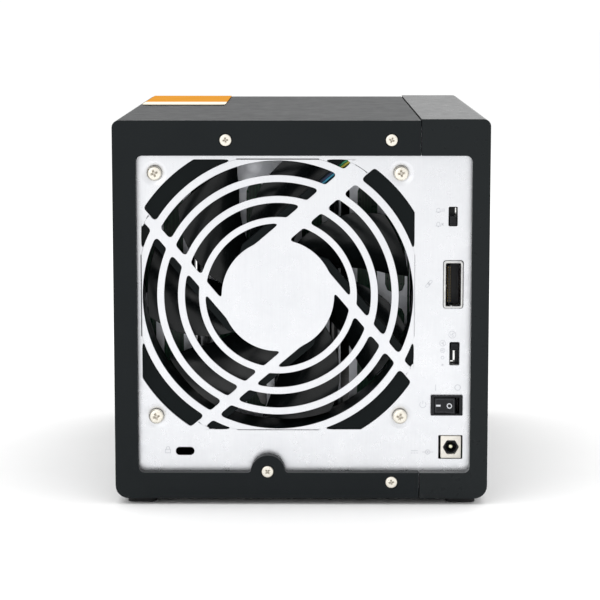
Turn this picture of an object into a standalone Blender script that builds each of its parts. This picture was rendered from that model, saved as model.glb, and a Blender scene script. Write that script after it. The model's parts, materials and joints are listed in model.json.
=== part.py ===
"""A desktop storage enclosure for four 3.5 inch drives, modelled piece by piece.

The part stands on its rubber feet. X runs across its width, Y from its front (-Y, where the
drive trays are) to its rear (+Y, where the fan and the sockets are) and Z up from the table.
The origin is at the middle of the footprint. Sizes below are in millimetres, and MM turns
them into metres where the shapes are made.
"""
import math

import bmesh
import bpy
from mathutils import Matrix, Vector

MM = 0.001
GAP = 0.3

# Outside
WIDTH = 160.0
DEPTH = 219.0
HEIGHT = 166.0
LEFT = -WIDTH / 2
RIGHT = WIDTH / 2
FRONT = -DEPTH / 2
REAR = DEPTH / 2
FOOT_HEIGHT = 2.5
FLOOR = FOOT_HEIGHT + GAP
MAIN_TOP = HEIGHT - 0.6
WALL = 2.5
SEAM_X = -50.6
TOP_ROUND = 3.0
BOTTOM_ROUND = 5.5
BEZEL_DEPTH = 5.2
COVER_FRONT = FRONT + BEZEL_DEPTH + GAP

# Rear panel and the frame around it
PANEL_REAR = REAR - 5.5
PANEL_THICK = 1.0
RIM_INSIDE = PANEL_REAR + GAP
OPENING = (-72.4, 14.0, 70.0, 150.5)
OPENING_ROUND = 2.6
BOSS = (14.3, 14.2)
BOSS_RADIUS = 7.4
BOSS_FILLET = 1.5
FRAME_SCREWS = ((32.0, 157.1), (-38.2, 157.1), (14.5, 14.4), (-38.8, 9.8))
FRAME_SCREW_HEAD = 2.55
FRAME_SCREW_SHANK = 1.2
FRAME_SCREW_SINK = 1.4

# Fan and its grille
FAN_X = 10.0
FAN_Z = 90.3
FAN_SIZE = 120.0
FAN_DEPTH = 25.0
FAN_REAR = PANEL_REAR - PANEL_THICK - GAP
FAN_FRONT = FAN_REAR - FAN_DEPTH
FAN_BORE = 58.5
FAN_HOLES = 52.5
FAN_SCREW_HEAD = 3.15
FAN_SCREW_SHANK = 1.7
SPOKE_ANGLE = 40.3
SPOKE_OUTER = 23.2
SPOKE_INNER = 19.3
WIDE_SPOKE_INNER = 15.1
RINGS = ((24.1, 31.0), (33.8, 39.8), (42.8, 48.7), (51.7, 57.9))
LAST_RING = (61.1, 68.4)
GRILLE_HALF = 58.3
SLOT_ROUND = 1.0
STRUT_OUTER = 26.4
STRUT_INNER = 20.6
WIDE_STRUT_INNER = 16.4
MOTOR_PLATE = 22.4
WIRE_OFFSET = 24.7
WIRE_CHANNEL = 2.3
BLADES = 7
BLADE_START = 23.0
BLADE_SWEEP = -28.0
HUB_RADIUS = 20.0
BLADE_TIP = 56.8

# Sockets and switches on the rear panel: centre X, centre Z, width, height
LOCK_SLOT = (50.2, 22.4, 8.0, 3.5)
BUZZER_SLOT = (-64.7, 124.3, 3.85, 8.3)
LINK_SHELL = (-65.0, 95.1, 8.3, 20.4)
FAN_SLOT = (-65.8, 65.1, 4.3, 10.0)
ROCKER = (-62.6, 42.7, 13.8, 8.9)
POWER_SOCKET = (-64.6, 24.3, 8.8, 9.7)
POWER_CUT_OUT = (-64.4, 24.3, 10.4, 10.3)

# Drive bays
BAYS = 4
BAY_PITCH = 31.0
BAY_LEFT = -48.0
BAY_RIGHT = BAY_LEFT + BAYS * BAY_PITCH
WINDOW = (BAY_LEFT, 18.0, BAY_RIGHT, 150.0)
SHEET = 0.8
DRIVE_LOW = 32.7
DRIVE_HIGH = 135.0
CAGE_LOW = 28.7
CAGE_HIGH = 139.3
CAGE_FRONT = -95.0
CAGE_REAR = 59.4
TRAY_FACE = FRONT + 1.0
TRAY_BACK = 50.0
TRAY_PLATE_BACK = -97.5
TRAY_HALF = 15.1
TRAY_LOW = 18.6
TRAY_HIGH = 149.4
CHANNEL_LEFT = -14.6
CHANNEL_RIGHT = 14.0
LEVER_HALF = 12.0
LEVER_THICK = 5.3
LEVER_TOP = 117.0
LEVER_PIVOT = (TRAY_FACE + LEVER_THICK / 2, 26.0)
LEVER_RECESS_TOP = 124.5

parts = None
cutters = None


# ---------------------------------------------------------------- shared helpers

def clear_scene():
    for obj in list(bpy.data.objects):
        bpy.data.objects.remove(obj)


def new_collection(name):
    collection = bpy.data.collections.new(name)
    bpy.context.scene.collection.children.link(collection)
    return collection


def material(name, colour, roughness, metallic=0.0):
    found = bpy.data.materials.get(name)
    if found:
        return found
    made = bpy.data.materials.new(name)
    made.use_nodes = True
    shader = made.node_tree.nodes["Principled BSDF"]
    shader.inputs["Base Color"].default_value = (*colour, 1.0)
    shader.inputs["Roughness"].default_value = roughness
    shader.inputs["Metallic"].default_value = metallic
    return made


def black_plastic():
    return material("black_plastic", (0.022, 0.025, 0.027), 0.5)


def bare_metal():
    return material("bare_metal", (0.80, 0.81, 0.83), 0.35, 1.0)


def dark_plastic():
    return material("dark_plastic", (0.012, 0.012, 0.014), 0.4)


def screw_metal():
    return material("screw_metal", (0.66, 0.62, 0.55), 0.3, 1.0)


def circuit_green():
    return material("circuit_board", (0.02, 0.09, 0.05), 0.45)


def add_part(name, data, look):
    obj = bpy.data.objects.new(name, data)
    parts.objects.link(obj)
    if look:
        data.materials.append(look)
    return obj


def as_cutter(obj):
    """Moves a helper shape out of the parts, so that it only shapes others."""
    parts.objects.unlink(obj)
    cutters.objects.link(obj)
    obj.hide_render = True
    obj.display_type = "WIRE"
    return obj


def box(name, low, high, look=None):
    """A block between two corners in millimetres, with its origin at its centre."""
    size = [(b - a) * MM for a, b in zip(low, high)]
    mesh = bpy.data.meshes.new(name)
    shape = bmesh.new()
    bmesh.ops.create_cube(shape, size=1.0, matrix=Matrix.Diagonal((*size, 1.0)))
    shape.to_mesh(mesh)
    shape.free()
    obj = add_part(name, mesh, look)
    obj.location = [(a + b) / 2 * MM for a, b in zip(low, high)]
    return obj


def cylinder(name, radius, start, end, axis, look=None, sides=32):
    """A round bar from start to end, two points in millimetres on a line along the given axis."""
    length = (Vector(end) - Vector(start)).length * MM
    mesh = bpy.data.meshes.new(name)
    shape = bmesh.new()
    bmesh.ops.create_cone(shape, cap_ends=True, segments=sides, radius1=radius * MM,
                          radius2=radius * MM, depth=length)
    shape.to_mesh(mesh)
    shape.free()
    mesh.shade_smooth()
    mesh.set_sharp_from_angle(angle=math.radians(40))
    obj = add_part(name, mesh, look)
    obj.rotation_euler = Vector(axis).to_track_quat("Z", "Y").to_euler()
    obj.location = (Vector(start) + Vector(end)) / 2 * MM
    return obj


PLANES = {
    "XY": ((0, 0, 0), Vector((0, 0, 1))),
    "XZ": ((math.pi / 2, 0, 0), Vector((0, 1, 0))),
    "YZ": ((math.pi / 2, 0, math.pi / 2), Vector((1, 0, 0))),
}


def plate(name, plane, outlines, low, high, look=None):
    """A flat piece: closed outlines in the named plane, the first outside and the rest holes,
    thickened between low and high along the plane's normal."""
    curve = bpy.data.curves.new(name, "CURVE")
    curve.dimensions = "2D"
    curve.fill_mode = "BOTH"
    curve.extrude = (high - low) / 2 * MM
    for outline in outlines:
        spline = curve.splines.new("POLY")
        spline.points.add(len(outline) - 1)
        spline.use_cyclic_u = True
        for point, (a, b) in zip(spline.points, outline):
            point.co = (a * MM, b * MM, 0.0, 1.0)
    obj = add_part(name, curve, look)
    rotation, normal = PLANES[plane]
    obj.rotation_euler = rotation
    obj.location = normal * (low + high) / 2 * MM
    return obj


def as_mesh(obj):
    """Swaps a curve object for a welded mesh object with the same name, place and material."""
    bpy.context.view_layer.update()
    graph = bpy.context.evaluated_depsgraph_get()
    mesh = bpy.data.meshes.new_from_object(obj.evaluated_get(graph))
    shape = bmesh.new()
    shape.from_mesh(mesh)
    bmesh.ops.remove_doubles(shape, verts=shape.verts, dist=0.00001)
    shape.to_mesh(mesh)
    shape.free()
    name = obj.name
    place = obj.matrix_world.copy()
    bpy.data.objects.remove(obj)
    made = bpy.data.objects.new(name, mesh)
    made.name = name
    parts.objects.link(made)
    made.matrix_world = place
    return made


def combine(obj, other, operation):
    modifier = obj.modifiers.new(f"{operation.lower()}_{other.name}", "BOOLEAN")
    modifier.operation = operation
    modifier.object = as_cutter(other)
    return obj


def cut(obj, other):
    return combine(obj, other, "DIFFERENCE")


def join(obj, other):
    return combine(obj, other, "UNION")


def cut_shared(obj, cutter):
    """Cuts with a cutter that has already been used on another piece."""
    modifier = obj.modifiers.new(f"difference_{cutter.name}", "BOOLEAN")
    modifier.operation = "DIFFERENCE"
    modifier.object = cutter
    return obj


def soften(obj, width, segments=2, angle=40.0):
    bevel = obj.modifiers.new("soft_edges", "BEVEL")
    bevel.width = width * MM
    bevel.segments = segments
    bevel.limit_method = "ANGLE"
    bevel.angle_limit = math.radians(angle)
    return obj


def turned(name, profile, place, direction, look, steps=32):
    """A turned piece. The profile is (radius, height) pairs down its outer side, and the
    piece's height runs along direction from place."""
    mesh = bpy.data.meshes.new(name)
    verts = [(radius * MM, 0.0, height * MM) for radius, height in profile]
    edges = [(i, i + 1) for i in range(len(profile) - 1)]
    mesh.from_pydata(verts, edges, [])
    obj = add_part(name, mesh, look)
    screw = obj.modifiers.new("turn", "SCREW")
    screw.steps = steps
    screw.render_steps = steps
    screw.use_merge_vertices = True
    screw.merge_threshold = 0.00001
    obj.rotation_euler = Vector(direction).to_track_quat("Z", "Y").to_euler()
    obj.location = Vector(place) * MM
    return obj


# ---------------------------------------------------------------- outlines

def arc(centre, radius, start, end, steps):
    """Points on a circle from one angle to another, in degrees."""
    points = []
    for i in range(steps + 1):
        angle = math.radians(start + (end - start) * i / steps)
        points.append((centre[0] + radius * math.cos(angle), centre[1] + radius * math.sin(angle)))
    return points


def circle(centre, radius, steps=24):
    return arc(centre, radius, 0.0, 360.0, steps)[:-1]


def rounded(low_x, low_y, high_x, high_y, radii, steps=4):
    """A rectangle with round corners. radii are for the corners (low x, low y), (high x, low y),
    (high x, high y) and (low x, high y), or one number for all."""
    if not isinstance(radii, tuple):
        radii = (radii,) * 4
    corners = ((low_x, low_y, 1, 1, 180), (high_x, low_y, -1, 1, 270),
               (high_x, high_y, -1, -1, 0), (low_x, high_y, 1, -1, 90))
    points = []
    for (x, y, in_x, in_y, start), radius in zip(corners, radii):
        if radius:
            middle = (x + in_x * radius, y + in_y * radius)
            points += arc(middle, radius, start, start + 90, steps)
        else:
            points.append((x, y))
    return points


def centred(spec, grow=0.0, radius=0.4):
    """A rounded rectangle from centre and size, made larger by grow on every side."""
    x, z, width, height = spec
    return rounded(x - width / 2 - grow, z - height / 2 - grow,
                   x + width / 2 + grow, z + height / 2 + grow, radius, 3)


def ease_corners(points, reach):
    """Rounds each sharp corner of a closed outline with a short curve."""
    eased = []
    count = len(points)
    for i, corner in enumerate(points):
        here = Vector(corner)
        before = Vector(points[i - 1]) - here
        after = Vector(points[(i + 1) % count]) - here
        if before.angle(after) > math.radians(150):
            eased.append(corner)
            continue
        start = here + before.normalized() * min(reach, before.length * 0.45)
        end = here + after.normalized() * min(reach, after.length * 0.45)
        middle = here * 0.5 + (start + end) * 0.25
        eased += [tuple(start), tuple(middle), tuple(end)]
    return eased


def opening_outline():
    """The opening in the rear frame: a rounded rectangle whose lower edge rises over the boss."""
    low_x, low_z, high_x, high_z = OPENING
    corners = rounded(low_x, low_z, high_x, high_z, OPENING_ROUND)
    fillet_z = low_z + BOSS_FILLET
    reach = BOSS_RADIUS + BOSS_FILLET
    lean = math.degrees(math.asin((fillet_z - BOSS[1]) / reach))
    side = reach * math.cos(math.radians(lean))
    bump = arc((BOSS[0] - side, fillet_z), BOSS_FILLET, 270, 360 - lean, 4)
    bump += arc(BOSS, BOSS_RADIUS, 180 - lean, lean, 20)[1:]
    bump += arc((BOSS[0] + side, fillet_z), BOSS_FILLET, 180 + lean, 270, 4)[1:]
    first = len(corners) // 4
    return corners[:first] + bump + corners[first:]


def edge_angle(radius, offset, spoke):
    """The angle, seen from behind, at which a circle meets the edge of a spoke. A spoke runs
    outward along a line that passes the fan's axis at the given offset."""
    return SPOKE_ANGLE + 90 * spoke + math.degrees(math.asin(offset / radius))


def spoke_inner(spoke):
    return WIDE_SPOKE_INNER if spoke % 4 == 0 else SPOKE_INNER


def ring_slot(inner, outer, quadrant):
    """One slot of a ring, between the spoke that starts a quadrant and the one that ends it."""
    steps = max(4, round((outer - 10) / 2.8))
    end = spoke_inner(quadrant + 1)
    points = arc((0, 0), outer, edge_angle(outer, SPOKE_OUTER, quadrant),
                 edge_angle(outer, end, quadrant + 1), steps)
    points += arc((0, 0), inner, edge_angle(inner, end, quadrant + 1),
                  edge_angle(inner, SPOKE_OUTER, quadrant), steps)
    return points


def strut_gap(quadrant):
    """The gap between two struts of the fan's frame, which lie behind the grille's spokes and
    show a little beyond them. A strut's outer edge bends in to the motor plate at its root."""
    outer = FAN_BORE - GAP
    end = WIDE_STRUT_INNER if quadrant == 3 else STRUT_INNER
    root = SPOKE_ANGLE + 90 * quadrant + 90
    points = arc((0, 0), outer, edge_angle(outer, STRUT_OUTER, quadrant),
                 edge_angle(outer, end, quadrant + 1), 16)
    points += arc((0, 0), MOTOR_PLATE, edge_angle(MOTOR_PLATE, end, quadrant + 1), root + 12, 6)
    points += arc((0, 0), STRUT_OUTER + 0.1, root - 5, root - 5, 1)[:1]
    return points


def last_ring_slots(quadrant):
    """The outermost ring is cut off by the sides of a square, which leaves a small triangle
    at the start of each quadrant and a long slot at its end."""
    inner, outer = LAST_RING
    side = 90 + 90 * quadrant
    near = math.degrees(math.acos(GRILLE_HALF / inner))
    far = math.degrees(math.acos(GRILLE_HALF / outer))
    lean = math.radians(SPOKE_ANGLE)
    along = (GRILLE_HALF - SPOKE_OUTER * math.cos(lean)) / math.sin(lean)
    tip = math.hypot(SPOKE_OUTER, along)
    tip_angle = edge_angle(tip, SPOKE_OUTER, quadrant)
    triangle = arc((0, 0), inner, side - near, edge_angle(inner, SPOKE_OUTER, quadrant), 3)
    triangle += arc((0, 0), tip, tip_angle, tip_angle, 1)[:1]
    end = spoke_inner(quadrant + 1)
    long_slot = arc((0, 0), outer, side + far, edge_angle(outer, end, quadrant + 1), 7)
    long_slot += arc((0, 0), inner, edge_angle(inner, end, quadrant + 1), side + near, 8)
    return [triangle, long_slot]


def around_fan(points):
    """Turns points seen from behind, about the fan's axis, into X and Z."""
    return [(FAN_X - x, FAN_Z + z) for x, z in points]


def grille_slots():
    slots = []
    for quadrant in range(4):
        for inner, outer in RINGS:
            slots.append(ring_slot(inner, outer, quadrant))
        slots += last_ring_slots(quadrant)
    return [around_fan(ease_corners(slot, SLOT_ROUND)) for slot in slots]


def fan_corners():
    return [(FAN_X + sx * FAN_HOLES, FAN_Z + sz * FAN_HOLES) for sz in (1, -1) for sx in (1, -1)]


# ---------------------------------------------------------------- covers and rear panel

def frame_screw_bore(number, place):
    """A counterbore for the head and a clearance hole for the shank, as one turned shape."""
    head = FRAME_SCREW_HEAD + GAP
    shank = FRAME_SCREW_SHANK + GAP
    profile = ((0, 4), (head, 4), (head, -FRAME_SCREW_SINK), (shank, -FRAME_SCREW_SINK),
               (shank, -9), (0, -9))
    return turned(f"frame_screw_bore_{number}", profile, (place[0], REAR, place[1]), (0, 1, 0),
                  None, 20)


def covers():
    opening = plate("opening_cutter", "XZ", [opening_outline()], RIM_INSIDE - 4, REAR + 4)
    opening = as_cutter(as_mesh(opening))
    deep = COVER_FRONT - 5

    outline = rounded(SEAM_X, FLOOR, RIGHT, MAIN_TOP, (0, BOTTOM_ROUND, TOP_ROUND, 0), 6)
    main = as_mesh(plate("main_cover", "XZ", [outline], COVER_FRONT, REAR, black_plastic()))
    cut(main, box("main_cavity", (SEAM_X - 20, deep, FLOOR + WALL),
                  (RIGHT - WALL, RIM_INSIDE, MAIN_TOP - WALL)))
    cut_shared(main, opening)
    soften(main, 0.7)
    for number, place in enumerate(FRAME_SCREWS, 1):
        cut(main, frame_screw_bore(number, place))

    side = SEAM_X - GAP
    outline = rounded(LEFT, FLOOR, side, HEIGHT, (BOTTOM_ROUND, 0, 0, TOP_ROUND), 6)
    control = as_mesh(plate("control_cover", "XZ", [outline], COVER_FRONT, REAR, black_plastic()))
    cut(control, box("control_cavity", (LEFT + WALL, deep, FLOOR + WALL),
                     (side + 20, RIM_INSIDE, HEIGHT - WALL)))
    cut_shared(control, opening)
    soften(control, 0.5)


def rear_panel():
    margin = 1.0
    outline = rounded(LEFT + WALL + margin, FLOOR + WALL + margin, RIGHT - WALL - margin,
                      MAIN_TOP - WALL - margin, 2.0)
    holes = [centred(spec) for spec in (POWER_CUT_OUT, BUZZER_SLOT, FAN_SLOT)]
    holes.append(centred(LINK_SHELL, 0.25))
    holes.append(centred(ROCKER, -0.15))
    holes.append(centred(LOCK_SLOT, 0.0, 1.6))
    holes += [circle(place, FAN_SCREW_SHANK + GAP, 12) for place in fan_corners()]
    holes += [circle(place, FRAME_SCREW_SHANK + GAP, 12) for place in FRAME_SCREWS]
    plate("rear_panel", "XZ", [outline] + grille_slots() + holes, PANEL_REAR - PANEL_THICK,
          PANEL_REAR, bare_metal())


def screws():
    head = FAN_SCREW_HEAD
    profile = ((0, 2.0), (head * 0.5, 1.85), (head * 0.85, 1.3), (head, 0.5), (head, 0.0),
               (FAN_SCREW_SHANK, 0.0), (FAN_SCREW_SHANK, -10.5), (0, -10.5))
    for number, (x, z) in enumerate(fan_corners(), 1):
        turned(f"fan_screw_{number}", profile, (x, PANEL_REAR + GAP, z), (0, 1, 0),
               screw_metal(), 16)
    rise = FRAME_SCREW_SINK - GAP - 0.05
    head = FRAME_SCREW_HEAD
    profile = ((0, rise), (head * 0.8, rise), (head, rise - 0.35), (head, 0.0),
               (FRAME_SCREW_SHANK, 0.0), (FRAME_SCREW_SHANK, -7.4), (0, -7.4))
    base = REAR - FRAME_SCREW_SINK + GAP
    for number, (x, z) in enumerate(FRAME_SCREWS, 1):
        turned(f"frame_screw_{number}", profile, (x, base, z), (0, 1, 0), screw_metal(), 16)


# ---------------------------------------------------------------- fan

SPIDER = 4.0
SHAFT = 1.5


def fan_frame():
    half = FAN_SIZE / 2
    outline = rounded(FAN_X - half, FAN_Z - half, FAN_X + half, FAN_Z + half, 3.0)
    gaps = [around_fan(strut_gap(quadrant)) for quadrant in range(4)]
    holes = [circle(place, FAN_SCREW_SHANK + GAP, 12) for place in fan_corners()]
    frame = as_mesh(plate("fan_frame", "XZ", [outline] + gaps + holes, FAN_FRONT, FAN_REAR,
                          dark_plastic()))
    axis = (0, 1, 0)
    cut(frame, cylinder("fan_bore", FAN_BORE, (FAN_X, FAN_FRONT - 2, FAN_Z),
                        (FAN_X, FAN_REAR - SPIDER, FAN_Z), axis, None, 72))
    cut(frame, cylinder("bearing_hole", SHAFT + GAP, (FAN_X, FAN_REAR - SPIDER - 1, FAN_Z),
                        (FAN_X, FAN_REAR - 0.8, FAN_Z), axis, None, 16))
    cut(frame, wire_channel())


def wire_channel():
    """The open channel that the fan's wires lie in, from the middle of the widest strut out over
    the frame's edge."""
    start, end = 43.0, 78.0
    lean = math.radians(SPOKE_ANGLE)
    along = (start + end) / 2
    x = along * math.cos(lean) - WIRE_OFFSET * math.sin(lean)
    z = along * math.sin(lean) + WIRE_OFFSET * math.cos(lean)
    half = (end - start) / 2
    channel = box("wire_channel", (-half, -3.0, -WIRE_CHANNEL / 2), (half, 3.0, WIRE_CHANNEL / 2))
    channel.location = Vector((FAN_X - x, FAN_REAR, FAN_Z + z)) * MM
    channel.rotation_euler = (0, lean, 0)
    return channel


def blade_set():
    """The twisted blades about local Z, with their roots sunk into the hub's wall."""
    mesh = bpy.data.meshes.new("blade_set")
    shape = bmesh.new()
    across, along = 5, 4
    for blade in range(BLADES):
        rows = []
        for i in range(along + 1):
            u = i / along
            radius = HUB_RADIUS - 1.2 + u * (BLADE_TIP - HUB_RADIUS + 1.2)
            front = 3.2 + 1.0 * u
            back = 18.6 - 2.2 * u
            row = []
            for j in range(across + 1):
                v = j / across
                span = 49 - 14 * u
                angle = math.radians(360 * blade / BLADES + BLADE_START + BLADE_SWEEP * u
                                     + span * (v - 0.5))
                height = front + (back - front) * v + 1.6 * math.sin(math.pi * v)
                row.append(shape.verts.new((radius * math.cos(angle) * MM,
                                            radius * math.sin(angle) * MM, height * MM)))
            rows.append(row)
        for i in range(along):
            for j in range(across):
                shape.faces.new((rows[i][j], rows[i][j + 1], rows[i + 1][j + 1], rows[i + 1][j]))
    shape.to_mesh(mesh)
    shape.free()
    obj = add_part("blade_set", mesh, None)
    thick = obj.modifiers.new("thickness", "SOLIDIFY")
    thick.thickness = 1.4 * MM
    thick.offset = 0.0
    return obj


def fan():
    fan_frame()
    middle = (FAN_X, FAN_FRONT, FAN_Z)
    rim = FAN_DEPTH - SPIDER - 0.8
    floor = 3.2
    profile = ((0, FAN_DEPTH - 1.2), (SHAFT, FAN_DEPTH - 1.2), (SHAFT, floor),
               (HUB_RADIUS - 2.4, floor), (HUB_RADIUS - 2.4, rim), (HUB_RADIUS, rim),
               (HUB_RADIUS, 2.4), (HUB_RADIUS - 1.2, 1.2), (0, 1.2))
    rotor = turned("fan_rotor", profile, middle, (0, 1, 0), dark_plastic(), 32)
    rotor.rotation_euler = (-math.pi / 2, 0, 0)
    blades = blade_set()
    blades.rotation_euler = rotor.rotation_euler
    blades.location = rotor.location
    join(rotor, blades)
    stator = [circle((FAN_X, FAN_Z), HUB_RADIUS - 4.6, 32), circle((FAN_X, FAN_Z), SHAFT + 0.7, 16)]
    plate("fan_stator", "XZ", stator, FAN_FRONT + floor + 0.8, FAN_REAR - SPIDER - GAP,
          material("copper_winding", (0.55, 0.26, 0.12), 0.4, 1.0))


def smooth_route(route, steps):
    """Points along a smooth curve through the route's own points."""
    points = [Vector(p) for p in route]
    ends = [points[0] * 2 - points[1]] + points + [points[-1] * 2 - points[-2]]
    found = []
    for i in range(1, len(ends) - 2):
        a, b, c, d = ends[i - 1:i + 3]
        for step in range(steps):
            t = step / steps
            found.append(0.5 * (2 * b + (c - a) * t + (2 * a - 5 * b + 4 * c - d) * t * t
                                + (3 * b - a - 3 * c + d) * t ** 3))
    found.append(points[-1])
    return found


FAN_CABLE_ROUTE = ((-23.0, 101.4, 152.0), (-22.6, 92.0, 152.2), (-22.5, 80.0, 152.2),
                   (-22.8, 72.0, 151.8), (-23.0, 67.4, 150.0), (-23.0, 66.9, 147.0))


def fan_cable():
    curve = bpy.data.curves.new("fan_cable", "CURVE")
    curve.dimensions = "3D"
    curve.bevel_depth = 1.2 * MM
    curve.bevel_resolution = 2
    curve.use_fill_caps = True
    points = smooth_route(FAN_CABLE_ROUTE, 4)
    spline = curve.splines.new("POLY")
    spline.points.add(len(points) - 1)
    for point, place in zip(spline.points, points):
        point.co = (*(place * MM), 1.0)
    add_part("fan_cable", curve, material("cable_black", (0.02, 0.02, 0.02), 0.5))
    header = box("fan_header", (-27.5, 64.3, 140.8), (-18.5, 69.4, 146.6),
                 material("connector_white", (0.75, 0.74, 0.70), 0.5))
    soften(header, 0.3, 1)


# ---------------------------------------------------------------- sockets and switches

def data_link():
    x, z, width, height = LINK_SHELL
    wall = 0.95
    shell = [centred(LINK_SHELL, 0.0, 0.8), centred(LINK_SHELL, -wall, 0.4)]
    plate("link_shell", "XZ", shell, 91.0, PANEL_REAR + 1.2, bare_metal())
    half_x = width / 2 - wall - GAP
    half_z = height / 2 - wall - GAP
    insert = box("link_insert", (x - half_x, 91.3, z - half_z), (x + half_x, 97.0, z + half_z),
                 dark_plastic())
    tongue_x = x + 2.0
    join(insert, box("link_tongue", (tongue_x - 0.5, 96.0, z - half_z + 0.8),
                     (tongue_x + 0.5, PANEL_REAR - 0.4, z + half_z - 0.8)))


def power_inlet():
    x, z, width, height = POWER_SOCKET
    mouth = PANEL_REAR + 0.5
    socket = box("power_socket", (x - width / 2, 90.0, z - height / 2),
                 (x + width / 2, mouth, z + height / 2),
                 material("ivory_plastic", (0.80, 0.76, 0.66), 0.45))
    soften(socket, 0.4)
    cut(socket, cylinder("power_hole", 3.3, (x, 93.7, z), (x, mouth + 2, z), (0, 1, 0), None, 32))
    cylinder("power_pin", 1.0, (x, 94.0, z), (x, mouth - 1.6, z), (0, 1, 0), screw_metal(), 16)


ROCKER_TILT = 10.0
ROCKER_DEPTH = 4.5
ROCKER_HALF = 4.4
PADDLE_HALF = 3.3
WELL_HALF = (5.45, 3.6)


def rocker_switch():
    """The power switch. Its rocker rests with the +X end pushed in, and turns about a pivot
    below its face, so that a gap shows beside the raised end."""
    x, z, width, height = ROCKER
    rim = PANEL_REAR + GAP + 1.0
    pivot_y = rim + 0.2 - ROCKER_DEPTH
    bezel = box("rocker_bezel", (x - width / 2, PANEL_REAR + GAP, z - height / 2),
                (x + width / 2, rim, z + height / 2), dark_plastic())
    soften(bezel, 0.35)
    join(bezel, box("rocker_body", (x - 6.4, 90.0, z - 4.0), (x + 6.4, rim - 0.4, z + 4.0)))
    half_x, half_z = WELL_HALF
    cut(bezel, box("rocker_well", (x - half_x, pivot_y - 4.2, z - half_z),
                   (x + half_x, rim + 2, z + half_z)))

    half = ROCKER_HALF
    top = ROCKER_DEPTH
    flat = ((-half, top + 0.75), (-half, 0.0), (-2.2, -3.0), (2.2, -3.0), (half, 0.0),
            (half, top + 0.75), (0.0, top))
    lean = math.radians(-ROCKER_TILT)
    outline = [(x + a * math.cos(lean) - b * math.sin(lean),
                pivot_y + a * math.sin(lean) + b * math.cos(lean)) for a, b in flat]
    paddle = as_mesh(plate("rocker", "XY", [outline], z - PADDLE_HALF, z + PADDLE_HALF,
                          dark_plastic()))
    move_origin(paddle, (x, pivot_y, z))
    soften(paddle, 0.25, 2, 30)


def move_origin(obj, place):
    """Puts a mesh object's origin at a place in millimetres and leaves its shape where it is."""
    bpy.context.view_layer.update()
    target = Matrix.Translation(Vector(place) * MM)
    obj.data.transform(target.inverted() @ obj.matrix_world)
    obj.matrix_world = target


def slide_switch(name, slot, body_half, knob):
    """A slide switch: a metal can with a slot in its face, and the knob that runs in it.
    knob is its half width, lowest Z and highest Z."""
    x, z, width, height = slot
    half_x, half_z = body_half
    face = PANEL_REAR - PANEL_THICK - GAP
    can = box(f"{name}_switch_body", (x - half_x, 95.0, z - half_z), (x + half_x, face, z + half_z),
              bare_metal())
    cut(can, box(f"{name}_well", (x - width / 2 + 0.15, face - 3.2, z - height / 2 + 0.15),
                 (x + width / 2 - 0.15, face + 2, z + height / 2 - 0.15)))
    half, low, high = knob
    slider = box(f"{name}_slider", (x - half, face - 2.9, low), (x + half, PANEL_REAR + 0.7, high),
                 dark_plastic())
    soften(slider, 0.25, 2)


def switches():
    slide_switch("buzzer", BUZZER_SLOT, (3.2, 6.1), (1.45, 120.6, 124.5))
    slide_switch("fan", FAN_SLOT, (3.5, 7.2), (1.6, 66.6, 69.6))


# ---------------------------------------------------------------- boards and drive cage

def vents(middles, low, high, half):
    return [rounded(middle - half, low, middle + half, high, half * 0.9, 2) for middle in middles]


def boards():
    green = circuit_green()
    board = [rounded(BAY_LEFT, 20.0, BAY_RIGHT, 148.0, 2.0)]
    board += vents([BAY_LEFT + BAY_PITCH * i for i in (1, 2, 3)], 34.0, 134.0, 6.0)
    plate("backplane_board", "XZ", board, 60.0, 61.6, green)
    bracket = [rounded(BAY_LEFT + 1, 24.0, BAY_RIGHT - 1, 147.0, 2.0)]
    columns = [BAY_LEFT + 6.5 + i * 12.33 for i in range(10)]
    for low, high in ((32.0, 80.0), (86.0, 135.5)):
        bracket += vents(columns, low, high, 4.4)
    plate("backplane_bracket", "XZ", bracket, 63.0, 64.0, bare_metal())
    for i in range(BAYS):
        middle = BAY_LEFT + (i + 0.5) * BAY_PITCH
        socket = box(f"drive_socket_{i + 1}", (middle - 9.0, 53.0, 60.0),
                     (middle - 3.6, 59.7, 95.0), dark_plastic())
        soften(socket, 0.4, 1)
    plate("controller_board", "YZ", [rounded(40.0, 16.0, 101.5, 150.0, 2.0)], -71.4, -69.8, green)


def drive_cage():
    metal = bare_metal()
    slots = vents([-74 + 36.0 * i for i in range(4)], 42.0, 126.0, 7.0)
    for i in range(BAYS + 1):
        x = BAY_LEFT + i * BAY_PITCH
        wall = [rounded(CAGE_FRONT, CAGE_LOW, CAGE_REAR, CAGE_HIGH, 2.0)] + slots
        plate(f"cage_wall_{i + 1}", "YZ", wall, x - SHEET / 2, x + SHEET / 2, metal)
    low_x = BAY_LEFT - SHEET / 2
    high_x = BAY_RIGHT + SHEET / 2
    fold = 1.2
    stand = FLOOR + WALL + GAP
    top = CAGE_LOW - GAP
    bottom_sheet = ((low_x, stand), (low_x + fold, stand), (low_x + fold, top - fold),
                    (high_x - fold, top - fold), (high_x - fold, stand), (high_x, stand),
                    (high_x, top), (low_x, top))
    plate("cage_bottom", "XZ", [bottom_sheet], CAGE_FRONT, CAGE_REAR, metal)
    base = CAGE_HIGH + GAP
    flange = base + 10.0
    top_sheet = ((low_x, base), (high_x, base), (high_x, flange), (high_x - fold, flange),
                 (high_x - fold, base + fold), (low_x + fold, base + fold),
                 (low_x + fold, flange), (low_x, flange))
    plate("cage_top", "XZ", [top_sheet], CAGE_FRONT, CAGE_REAR, metal)


# ---------------------------------------------------------------- front

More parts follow.
